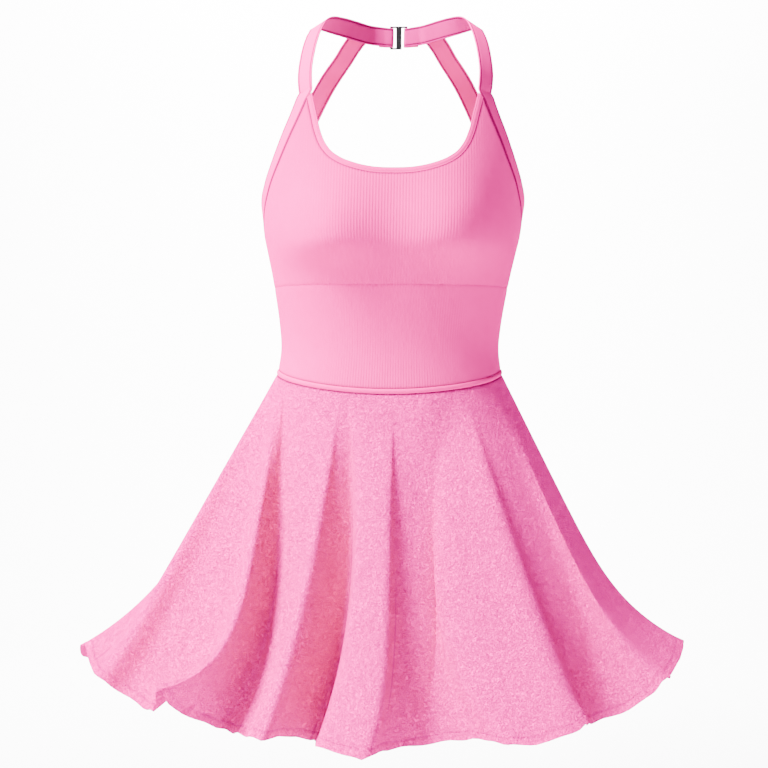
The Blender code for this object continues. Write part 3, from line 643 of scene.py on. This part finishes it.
def rounded(width, wall, stitches, crown=0.0):
    """Cross-section of a flat folded strip: (across, depth) round it, with stitch grooves."""
    radius = EDGE_ROUND * wall
    turn = np.linspace(0, 1, 5) ** 1.4 * radius
    near = np.concatenate([turn, [1.6 * radius]])
    for stitch in stitches:
        near = np.concatenate([near, stitch + STITCH_ROWS])
    across = np.unique(np.concatenate([near, width - near, np.linspace(0, width, 12)]))
    across = across[(across >= 0) & (across <= width)]
    edge = np.minimum(across, width - across)
    depth = radius - np.sqrt(np.maximum(radius**2 - np.maximum(radius - edge, 0) ** 2, 0))
    for stitch in stitches:
        depth += STITCH_GROOVE * np.exp(-(((edge - stitch) / STITCH_SOFT) ** 2))
    top = depth - crown * np.sin(np.pi * across / width)
    return np.concatenate([across, across[::-1]]), np.concatenate([top, wall - depth[::-1]])


def stitch_shade(across, width):
    """Painted shade of the stitch lines along both edges of a strip or band."""
    edge = np.minimum(across, width - across)
    return np.exp(-(((edge - STITCH_IN) / STITCH_SOFT) ** 2))


def figure_strip(name, node, place, profile, flat, closed=False):
    """A narrow strip on the figure; `place` gives bearings and heights at a distance in."""
    rings, uv = [], []
    for across, depth in zip(*profile):
        bearings, heights = place(across)
        points = figure(bearings, heights) + (BINDING_RISE - depth) * outward(bearings, heights)
        rings.append(sway(points))
        run = np.linspace(0, 1, len(points)) * flat[1]
        # the inner face takes the band's darker inner tone, a painted shade
        marks = (run, across, depth > BAND / 2, 0)
        uv.append(np.stack([mark + 0 * run for mark in marks], axis=-1))
    piece = hose(name, band, np.stack(rings, axis=1), np.stack(uv, axis=1), closed)
    in_place(piece, node)


def make_strips():
    profile = rounded(BINDING_WIDTH, BAND + BINDING_RISE, [BINDING_STITCH])

    def neck(across):
        line = neck_edge(420, across)
        return bearing_at(line[:, 0], line[:, 1]), line[:, 1]

    figure_strip("neck_binding", "neckline_binding", neck, profile, (0.012, 0.294))
    edge = np.radians(BACK_STRAP_BEARING + BINDING_END)
    bearings = np.linspace(edge, 2 * np.pi - edge, 260)
    figure_strip(
        "low_back_binding",
        "back_binding",
        lambda across: (bearings, back_top(bearings) - across),
        profile,
        (0.012, 0.29),
    )
    round_it = np.linspace(0, 2 * np.pi, 720, endpoint=False)
    profile = rounded(WAIST_BAND_HEIGHT, BAND + WAIST_BAND_RISE, [], crown=PIPING_CROWN)
    figure_strip(
        "waist_piping",
        "waist_band",
        lambda across: (round_it, waist_height(round_it) - JOIN - across),
        profile,
        (0.010, 0.71),
        closed=True,
    )


# ---------------------------------------------------------------- bands and straps


def lie_across(rows):
    return np.array([[row.out, row.back, row.up] for row in rows])


def lie_points(rows):
    edge = np.array([[row.side, row.depth, row.height] for row in rows])
    return edge, lie_across(rows)


def arm_part():
    """The band along the arm seam, underarm to strap: edge, lie, and the way into the cloth."""
    marks = np.arange(4, 2 * BUST_RIBS + 1) * RIB_PITCH / 2
    side = np.linspace(marks[-1], np.pi / 2 - JOIN / SIDE_RADIUS, 26)[1:]
    marks = np.append(marks, side)[::-1]
    marks = marks[arm_top(marks) < neck_top(marks)]
    heights = arm_top(marks)
    bearings = marks * grain(heights)
    across = curve(column(ARM_LIE, "height"), lie_across(ARM_LIE), heights)
    edge, rim = figure(bearings, heights), -outward(bearings, heights)
    along = unit(np.gradient(edge, axis=0))
    return edge + JOIN * unit(np.cross(rim, along)), across, rim


def back_part():
    """The back strap along the back's upper edge: edge, lie, and the way into the cloth."""
    bearings = np.radians(np.linspace(90.02, BACK_STRAP_BEARING, 16))
    heights = back_top(bearings)
    across = curve(column(BACK_LIE, "height"), lie_across(BACK_LIE), heights)
    return figure(bearings, heights), across, -outward(bearings, heights)


def onward(sewn, rows, count):
    """The free part of a band: on from its sewn part, through the rows of a table."""
    parts = enumerate(lie_points(rows))
    edge, across = (np.concatenate([sewn[number][-3:], part]) for number, part in parts)
    at = lengths(edge)
    stations = np.linspace(at[2], at[-1], count)[1:]
    return curve(at, edge, stations), curve(at, across, stations)


def neck_depth(side):
    """Depth of the neck band's outer face, flat along the clasp."""
    return NECK_CENTRE + np.sqrt(NECK_RADIUS**2 - np.maximum(abs(side), CLASP_RIGHT) ** 2)


def clasp_loop(bar, last):
    """The band's end: on to the clasp's bar, round it and back along its own outer face."""
    radius = CLASP_LOOP
    side = np.linspace(last[0], bar, 5)[1:-1]
    height = np.interp(side, [bar, last[0]], [NECK_EDGE, last[2]])
    there = np.stack([side, neck_depth(side), height], axis=1)
    turn = np.linspace(0, np.pi, 9)
    middle = neck_depth(bar) + radius
    bend = np.stack([bar - radius * np.sin(turn), middle - radius * np.cos(turn)], axis=1)
    bend = np.concatenate([bend, np.full((len(turn), 1), NECK_EDGE)], axis=1)
    home = bar + CLASP_TAIL
    space = np.array([0.6 * 2 * radius, 2 * TAIL_SPACE, 1.5 * TAIL_SPACE])
    back = np.stack([home, neck_depth(home) + space, NECK_EDGE + 0 * home], axis=1)
    return np.concatenate([there, bend, back])


def banded(name, node, sewn, free, side, turn):
    """A flat band that is sewn along a panel at first and goes on free, with stitched edges.

    It is worked out on the right and mirrored for side -1. `turn` is the sense, 1 or -1, in
    which the ways along and across it give the way into the cloth.
    """
    edge, across = (np.concatenate([sewn[n], free[n]]) for n in (0, 1))
    held = np.concatenate([sewn[2], np.tile(sewn[2][-1], (len(free[0]), 1))])
    blend = np.clip((np.arange(len(edge)) - len(sewn[0]) + 1) / FREE_ROWS, 0, 1)[:, None]
    steps = np.linspace(0, len(edge) - 1, BAND_STEPS * (len(edge) - 1) + 1)
    rows = lengths(edge)
    at = np.interp(steps, np.arange(len(edge)), rows)
    edge, across, held, blend = (curve(rows, item, at) for item in (edge, across, held, blend))
    along = unit(np.gradient(edge, axis=0))
    square = unit(across - np.sum(across * along, axis=1, keepdims=True) * along)
    square[0] = unit(across[0])
    inward = turn * unit(np.cross(along, square))
    rim = unit(held * (1 - blend) + inward * blend)
    rings, uv = [], []
    for reach, depth in zip(*rounded(BAND_WIDTH, BAND, [STITCH_IN])):
        share = reach / BAND_WIDTH
        way = unit(rim * (1 - share) + inward * share)
        rings.append(sway((edge + reach * square + (BAND_LAY + depth) * way) * [side, 1, 1]))
        # the halters' face toward the body takes the darker inner tone, a painted shade
        inner_face_shade = turn > 0 and depth > BAND / 2
        # painted shade along the sewn edge and the stitch lines
        painted_seam_shade = SEAM_SHADE * (1 - blend[:, 0]) * np.exp(-((reach / SEAM_LINE) ** 2))
        painted_seam_shade = np.maximum(painted_seam_shade, BAND_SHADE * stitch_shade(reach, BAND_WIDTH))
        marks = (at, reach, inner_face_shade, painted_seam_shade)
        uv.append(np.stack([mark + 0 * at for mark in marks], axis=-1))
    rings, uv = np.stack(rings, axis=1), np.stack(uv, axis=1)
    if side * turn > 0:
        rings, uv = rings[:, ::-1], uv[:, ::-1]
    piece = hose(name, band, rings, uv)
    in_place(piece, node)


def make_bands():
    sewn, low = arm_part(), back_part()
    for side, bar, word in ((-1, -CLASP_LEFT, "left"), (1, CLASP_RIGHT, "right")):
        strap_edge, strap_across = onward(sewn, STRAP, 46)
        loop = clasp_loop(bar, strap_edge[-1])
        lean = np.maximum(0, 0.09 - 0.045 * np.arange(len(loop)))  # upright from the third on
        loop_across = np.stack([0 * lean, lean, lean - 1], axis=1)
        free = np.concatenate([strap_edge, loop]), np.concatenate([strap_across, loop_across])
        banded(f"halter_{word}", f"band_{word}", sewn, free, side, 1)
        free = onward(low, BACK_STRAP, 36)
        banded(f"rear_strap_{word}", f"back_strap_{word}", low, free, side, -1)


# ---------------------------------------------------------------- skirt


def back_lines():
    """Crests and hollows of the hidden back, uneven like those of the front."""
    right, left = FRONT_LINES[-1], FRONT_LINES[0]
    tip_side, tip_height = (right.side - left.side) / 2, (right.height + left.height) / 2
    lines = []
    count = 2 * BACK_FOLDS + 1
    for number in range(1, count):
        share = number / count
        bearing = right.bearing + share * (left.bearing + 360 - right.bearing)
        crest = 1 if number % 2 == 0 else -1
        fold = crest * BACK_FOLD_DEPTH * (1 + BACK_UNEVEN * np.sin(2.1 * number))
        across, behind = np.cos(np.pi * share), np.sin(np.pi * share)
        side = (tip_side + BACK_SIDEWAYS * fold) * across
        depth = (BACK_REACH + fold) * behind * (1 - BACK_FLAT * np.sin(5 * share))
        height = tip_height - (tip_height - BACK_HEM) * behind**0.5 + 0.1 * fold
        lines.append(Line(bearing, side, depth, height, BACK_DRIFT * side, BACK_CURL))
    return lines


def skirt_grid(share):
    """The skirt's outer face all round: grid of points, bearings and the run along the hem."""
    lines = FRONT_LINES + back_lines()
    order = np.arange(-LINES_OVER, len(lines) + LINES_OVER + 1)
    table = np.array([lines[number] for number in order % len(lines)])
    table[:, 0] += 360 * np.floor_divide(order, len(lines))
    knots = lengths(table[:, 1:4])
    stations = []
    for number in range(LINES_OVER, LINES_OVER + len(lines)):
        step = table[number + 1, 0] - table[number, 0]
        count = max(LINE_COLUMNS, int(np.ceil(step / LINE_STEP)))
        stations += list(np.linspace(knots[number], knots[number + 1], count, endpoint=False))
    stations = np.array(stations)
    spread = np.linspace(-1.5, 1.5, 7)
    weights = np.exp(-(spread**2)) / np.exp(-(spread**2)).sum()
    near = (curve(knots, table, stations + CREST_SOFT * offset) for offset in spread)
    soft = sum(weight * line for weight, line in zip(weights, near))
    bearing, *hem = soft.T
    return skirt_points(np.radians(bearing), *hem, share[:, None]), bearing, stations


def skirt_points(bearing, side, depth, height, drift, curl, share):
    """Points of lines down the skirt at a share of the way from the waist to the hem."""
    top = figure(bearing, waist_height(bearing) - WAIST_BAND_HEIGHT - 2 * JOIN)
    flare = (1 - CONE_FLARE) * share + CONE_FLARE * share**2
    cone = -np.where(abs(bearing) < np.pi / 2, CONE_FRONT, CONE_BACK) * np.cos(bearing)
    x = top[:, 0] + drift * share + (side - top[:, 0] - drift) * share**curl
    set_in = 1 - np.exp(-((share / FOLD_START) ** 2))
    y = top[:, 1] + (cone - top[:, 1]) * flare + (depth - cone) * share * set_in
    z = top[:, 2] + (height - top[:, 2]) * share
    return np.stack([x, y, z], axis=-1)


def closed_normals(grid):
    """Outward directions of a grid that closes on itself column-wise."""
    round_it = np.roll(grid, -1, axis=1) - np.roll(grid, 1, axis=1)
    down = np.gradient(grid, axis=0)
    return unit(np.cross(down, round_it))


def hem_waves(run, from_hem):
    """Uneven waves along the hem, and the puckers of its stitches, from -1 to 1."""
    wave = np.sin(run / HEM_WAVE_STEP + 1.7 * np.sin(run / 0.023))
    pucker = np.sin(2 * np.pi * run / PUCKER_PITCH + 2.5 * np.sin(run / 0.031))
    return wave * np.exp(-from_hem / WAVE_REACH), pucker * np.exp(-from_hem / PUCKER_REACH)


def make_skirt():
    """The skirt in two halves, sewn at the sides, with a narrow stitched hem."""
    share = np.concatenate([[0, 0.003, 0.007, 0.014], np.linspace(0.02, 0.955, 104)])
    share = np.concatenate([share, np.linspace(0.960, 0.985, 8), [0.99, 0.994, 0.997, 1]])
    grid, bearings, run = skirt_grid(share)
    out = closed_normals(grid)
    up = lengths_down(grid)
    from_hem = up[-1] - up
    wave, pucker = hem_waves(run, from_hem)
    grid = grid + HEM_WAVE * wave[..., None] * (out + [0, 0, 1])
    grid += hem_curls(bearings, run, from_hem, out)
    grid[..., 2] -= HEM_DROP * np.exp(-from_hem / HEM_DROP_REACH)
    relief = HEM_FOLD * np.exp(-((from_hem / HEM) ** 6)) + PUCKER * pucker
    relief -= HEM_GROOVE * np.exp(-(((from_hem - HEM) / HEM_GROOVE_SOFT) ** 2))
    relief -= EDGE_ROLL * np.exp(-up / EDGE_SOFT)
    outer = grid + relief[..., None] * out
    inner = grid + (np.minimum(relief, 0) - CREPE)[..., None] * out
    # painted shade at the waist seam and along the hem's stitch line
    shade = SEAM_SHADE * np.exp(-((up / SEAM_LINE) ** 2))
    shade += HEM_SHADE * np.exp(-(((from_hem - HEM) / HEM_LINE) ** 2))
    uv = np.stack([run + 0 * from_hem, from_hem, shade], axis=-1)
    ahead = abs(bearings) < SIDE_SEAM
    behind = np.flatnonzero(~ahead)
    behind = behind[np.argsort(bearings[behind] % 360)]
    halves = (
        ("front_skirt", "skirt_front", np.flatnonzero(ahead), (0.98, 0.42), 0.265),
        ("rear_skirt", "skirt_back", behind, (0.98, 0.42), 0.31),
    )
    for name, node, columns, flat, area in halves:
        count = len(columns)
        marks = np.arange(count + 2)
        kept = np.unique(np.append(np.arange(0, count, 2), count - 1))
        few = np.concatenate([[0], 1 + kept, [count + 1]])
        ends = [(columns[0] - 1) % len(bearings), (columns[-1] + 1) % len(bearings)]
        face, wrong = (seam_to_seam(side, columns, ends) for side in (outer, inner))
        cloth = uv[:, columns[np.clip(marks - 1, 0, count - 1)]]
        piece = shell(name, crepe, face, wrong[:, few], marks, few, cloth, cloth[:, few])
        in_place(piece, node)


def hem_curls(bearings, run, from_hem, out):
    """How far the hem rolls up and out at its few curled places."""
    moved = np.zeros_like(out)
    for curl in HEM_CURLS:
        middle = run[np.argmin(abs(bearings - curl.bearing))]
        share = np.exp(-(((run - middle) / curl.width) ** 2) - (from_hem / curl.reach) ** CURL_LAW)
        moved += share[..., None] * (curl.push * out + [0, 0, curl.lift])
    return moved


def lengths_down(grid):
    """Distance down each column of a grid, 0 at the top."""
    steps = np.linalg.norm(np.diff(grid, axis=0), axis=-1)
    return np.concatenate([np.zeros((1, grid.shape[1])), np.cumsum(steps, axis=0)])


def seam_to_seam(face, columns, ends):
    """One half of the skirt, ending half a seam's width short of the middle of the next gap."""
    middle = [(face[:, columns[n]] + face[:, ends[n]]) / 2 for n in (0, -1)]
    away = [unit(face[:, columns[n]] - face[:, ends[n]]) * JOIN for n in (0, -1)]
    first, last = (middle[n] + away[n] for n in (0, 1))
    return np.concatenate([first[:, None], face[:, columns], last[:, None]], axis=1)


# ---------------------------------------------------------------- materials

# colour of the painted shade in seams and stitch lines
PAINTED_SEAM_SHADE = (0.06, 0.0001, 0.02)


class Nodes:
    """Short calls for a material's node tree."""

    def __init__(self, name):
        self.material = bpy.data.materials.new(name)
        self.material.use_nodes = True
        self.tree = self.material.node_tree
        self.shader = self.tree.nodes["Principled BSDF"]

    def node(self, kind, settings=(), **inputs):
        made = self.tree.nodes.new(kind)
        for name, value in dict(settings).items():
            setattr(made, name, value)
        for name, value in inputs.items():
            self.feed(made.inputs[name.replace("_", " ")], value)
        return made

    def feed(self, socket, value):
        if isinstance(value, bpy.types.NodeSocket):
            self.tree.links.new(value, socket)
        else:
            socket.default_value = value

    def math(self, operation, first, second=0.0, third=0.0):
        made = self.tree.nodes.new("ShaderNodeMath")
        made.operation = operation
        for socket, value in zip(made.inputs, (first, second, third)):
            self.feed(socket, value)
        return made.outputs[0]

    def noise(self, scale, detail=2.0, distortion=0.0, stretch=(1, 1, 1)):
        place = self.node("ShaderNodeTexCoord").outputs["Object"]
        place = self.node("ShaderNodeMapping", Vector=place, Scale=stretch).outputs[0]
        made = self.node("ShaderNodeTexNoise", Vector=place, Scale=scale, Detail=detail)
        made.inputs["Distortion"].default_value = distortion
        return made.outputs["Fac"]

    def mix(self, share, first, second):
        made = self.node("ShaderNodeMix", {"data_type": "RGBA"})
        self.feed(made.inputs["Factor"], share)
        self.feed(made.inputs[6], first)
        self.feed(made.inputs[7], second)
        return made.outputs[2]

    def spread(self, value, low, high):
        """Stretch low..high of a value to 0..1."""
        made = self.node("ShaderNodeMapRange", Value=value, From_Min=low, From_Max=high)
        return made.outputs[0]

    def bump(self, height, distance, normal=None):
        made = self.node("ShaderNodeBump", Height=height, Distance=distance, Strength=1.0)
        if normal is not None:
            self.feed(made.inputs["Normal"], normal)
        return made.outputs[0]

    def cloth_place(self):
        """Metres along and across the strip."""
        uv = self.node("ShaderNodeUVMap", {"uv_map": "cloth"}).outputs[0]
        parts = self.node("ShaderNodeSeparateXYZ", Vector=uv)
        return parts.outputs[0], parts.outputs[1]

    def stitches(self, along, from_edge, line):
        """1 on the threads of a row of stitches that runs `line` from an edge."""
        off = self.math("DIVIDE", self.math("SUBTRACT", from_edge, line), THREAD)
        ridge = self.math("SUBTRACT", 1.0, self.math("MULTIPLY", off, off))
        ridge = self.math("MAXIMUM", ridge, 0.0)
        beat = self.math("SINE", self.math("MULTIPLY", along, 2 * np.pi / STITCH_PITCH))
        return self.math("MULTIPLY", ridge, self.spread(beat, -0.6, -0.1))

    def mark(self, word):
        return self.node("ShaderNodeAttribute", {"attribute_name": word}).outputs["Fac"]

    def cloth(self, share, light, deep, reverse_and_shade, roughness):
        """Cloth without gloss: deep to light by `share`, another tone on the wrong side, which on a
        band's inner face is a painted shade, then the painted shade of seams and stitch lines.
        """
        face = self.mix(share, (*deep, 1), (*light, 1))
        # the wrong side's tone, which on the halters' inner face is a painted shade
        tone = self.mix(self.mark("inside"), face, (*reverse_and_shade, 1))
        # the painted shade of seams and stitch lines
        tone = self.mix(self.mark("seam"), tone, (*PAINTED_SEAM_SHADE, 1))
        self.feed(self.shader.inputs["Base Color"], tone)
        self.shader.inputs["Roughness"].default_value = roughness
        self.shader.inputs["Specular IOR Level"].default_value = 0.0
        self.shader.inputs["Specular Tint"].default_value = (1.0, 0.10, 0.40, 1)
        self.shader.inputs["Sheen Weight"].default_value = 0.02
        self.shader.inputs["Sheen Roughness"].default_value = 0.4
        self.shader.inputs["Sheen Tint"].default_value = (1.0, 0.02, 0.40, 1)


def knit_material():
    made = Nodes("ribbed_knit")
    soft = made.noise(60, 3)
    fine = made.noise(2600, 2, stretch=(1, 1, 0.45))
    share = made.math("ADD", made.math("MULTIPLY", soft, 0.6), made.math("MULTIPLY", fine, 0.5))
    light, deep, reverse_and_shade = (0.68, 0.0004, 0.225), (0.60, 0.0002, 0.190), (0.6, 0.0003, 0.19)
    made.cloth(share, light, deep, reverse_and_shade, roughness=0.72)
    made.feed(made.shader.inputs["Normal"], made.bump(fine, 0.00022))
    return made.material


def band_material():
    made = Nodes("knit_band")
    along, across = made.cloth_place()
    other = made.math("SUBTRACT", BAND_WIDTH, across)
    from_edge = made.math("MINIMUM", across, other)
    thread = made.stitches(along, from_edge, STITCH_IN)
    fine = made.noise(2400, 2)
    share = made.math("ADD", made.math("MULTIPLY", fine, 0.7), made.math("MULTIPLY", thread, 0.5))
    # the last tone, much darker than the face, is a painted shade on the halters' inner face
    light, deep, reverse_and_shade = (0.74, 0.0005, 0.245), (0.66, 0.0002, 0.205), (0.42, 0.0002, 0.15)
    made.cloth(share, light, deep, reverse_and_shade, roughness=0.66)
    normal = made.bump(fine, 0.00005)
    made.feed(made.shader.inputs["Normal"], made.bump(thread, 0.0003, normal))
    return made.material


def crepe_material():
    """Crepe: winding thin grooves over a wider swell, with a fine pebble; its colour is darker
    where they sink, a painted shade.
    """
    made = Nodes("crinkle_crepe")
    along, from_hem = made.cloth_place()
    thread = made.stitches(along, from_hem, HEM)
    wide = made.noise(170, 2, 1.6)
    crinkle = made.math("ABSOLUTE", made.math("SUBTRACT", made.noise(360, 1, 2.2), 0.5))
    crinkle = made.spread(crinkle, 0.0, 0.07)
    pebble = made.noise(900, 2)
    height = made.math("MULTIPLY_ADD", crinkle, 0.55, made.math("MULTIPLY", wide, 0.9))
    height = made.math("MULTIPLY_ADD", pebble, 0.3, height)
    # the colour follows the relief: painted shade in the crinkle's grooves and the pebble's
    # hollows, lighter on their raised parts
    share = made.math("MULTIPLY_ADD", crinkle, 0.7, made.math("MULTIPLY", pebble, 0.3))
    share = made.math("MULTIPLY_ADD", thread, 0.5, share)
    light, deep, reverse_and_shade = (0.99, 0.0020, 0.350), (0.64, 0.0003, 0.240), (0.70, 0.0004, 0.25)
    made.cloth(share, light, deep, reverse_and_shade, roughness=0.88)
    normal = made.bump(height, 0.0034)
    made.feed(made.shader.inputs["Normal"], made.bump(thread, 0.0003, normal))
    return made.material


def metal_material():
    made = Nodes("dark_nickel")
    worn = made.noise(900, 3)
    made.feed(
        made.shader.inputs["Base Color"],
        made.mix(made.spread(worn, 0.45, 0.75), (0.006, 0.006, 0.007, 1), (0.02, 0.02, 0.023, 1)),
    )
    made.shader.inputs["Metallic"].default_value = 0.5
    made.shader.inputs["Roughness"].default_value = 0.25
    return made.material


def plain_material(name, colour):
    made = Nodes(name)
    tone = made.mix(made.noise(3, 2), (*colour, 1), (*(0.985 * c for c in colour), 1))
    made.feed(made.shader.inputs["Base Color"], tone)
    made.shader.inputs["Roughness"].default_value = 0.9
    return made.material


# ---------------------------------------------------------------- stage, light, camera

FLOOR = -1.05
BACKDROP_TURN = 3.0  # where the floor begins to turn up, and the radius of the turn
BACKDROP_RADIUS = 1.6
PHOTO_SCALE = 0.00112  # metres a pixel at the middle of the dress
PHOTO_WIDTH = 768
DISTANCE = 2.5
AIM_SIDE = -0.0059  # the photo's middle, from the centre of the waist


def make_stage():
    """A pale floor that turns up into a backdrop well behind the dress."""
    turn = np.linspace(0, np.pi / 2, 13)
    wall = BACKDROP_TURN + BACKDROP_RADIUS
    depth = [-6.0, -3.0, 0.0], BACKDROP_TURN + BACKDROP_RADIUS * np.sin(turn), [wall]
    height = [0, 0, 0], BACKDROP_RADIUS * (1 - np.cos(turn)), [6.0]
    depth, height = np.concatenate(depth), np.concatenate(height) + FLOOR
    side = np.linspace(-7, 7, 3)
    points = [(x, y, z) for y, z in zip(depth, height) for x in side]
    index = np.arange(len(points)).reshape(len(depth), len(side))
    mesh = bpy.data.meshes.new("studio")
    mesh.from_pydata(points, [], grid_faces(index))
    mesh.shade_smooth()
    mesh.materials.append(plain_material("studio_white", (0.93, 0.93, 0.93)))
    stage = bpy.data.objects.new("studio", mesh)
    bpy.context.collection.objects.link(stage)


def add_light(name, place, target, size, power, colour, spread=180):
    """A soft box, its power in watts."""
    light = bpy.data.lights.new(name, "AREA")
    light.shape = "RECTANGLE"
    light.size, light.size_y = size
    light.energy, light.color, light.spread = power, colour, np.radians(spread)
    lamp = bpy.data.objects.new(name, light)
    lamp.location = place
    lamp.rotation_euler = (Vector(target) - Vector(place)).to_track_quat("-Z", "Y").to_euler()
    bpy.context.collection.objects.link(lamp)


def make_light():
    middle = (0.0, -0.06, -0.42)
    add_light(
        "key", (-1.92, -1.03, 2.46), middle, size=(1.0, 1.0), power=1500, colour=(1.0, 0.985, 1.0)
    )
    add_light(
        "front", (-0.6, -3.2, 0.1), middle, size=(2.4, 2.4), power=24, colour=(1.0, 0.95, 1.0)
    )
    low = {"size": (1.2, 1.2), "power": 0.95, "colour": (1.0, 0.7, 1.0), "spread": 30}
    add_light("fill", (2.7, -1.4, 0.6), (0.08, -0.1, -0.15), **low)
    far = {"size": (2.4, 0.8), "power": 1500, "colour": (1.0, 1.0, 1.0)}
    add_light("backdrop", (0.0, 1.9, 2.4), (0.0, 4.6, 0.2), **far)
    world = bpy.data.worlds.new("studio_air")
    world.use_nodes = True
    world.node_tree.nodes["Background"].inputs[0].default_value = (1.0, 0.98, 0.985, 1)
    world.node_tree.nodes["Background"].inputs[1].default_value = 0.1
    bpy.context.scene.world = world


def make_camera():
    camera = bpy.data.cameras.new("camera")
    camera.sensor_width = 36.0
    camera.lens = camera.sensor_width * DISTANCE / (PHOTO_SCALE * PHOTO_WIDTH)
    camera.clip_end = 30
    seat = bpy.data.objects.new("camera", camera)
    seat.location = (NAPE[0] + AIM_SIDE, NAPE[1] - DISTANCE, NAPE[2])
    seat.rotation_euler = (np.pi / 2, 0, 0)
    bpy.context.collection.objects.link(seat)
    bpy.context.scene.camera = seat


knit, band, crepe = knit_material(), band_material(), crepe_material()
make_front()
make_back()
make_strips()
make_bands()
make_skirt()
metal = metal_material()
for thing in bpy.data.objects:
    if thing.name.startswith("neck_clasp") and thing.type == "MESH":
        thing.data.materials.clear()
        thing.data.materials.append(metal)
make_stage()
make_light()
make_camera()
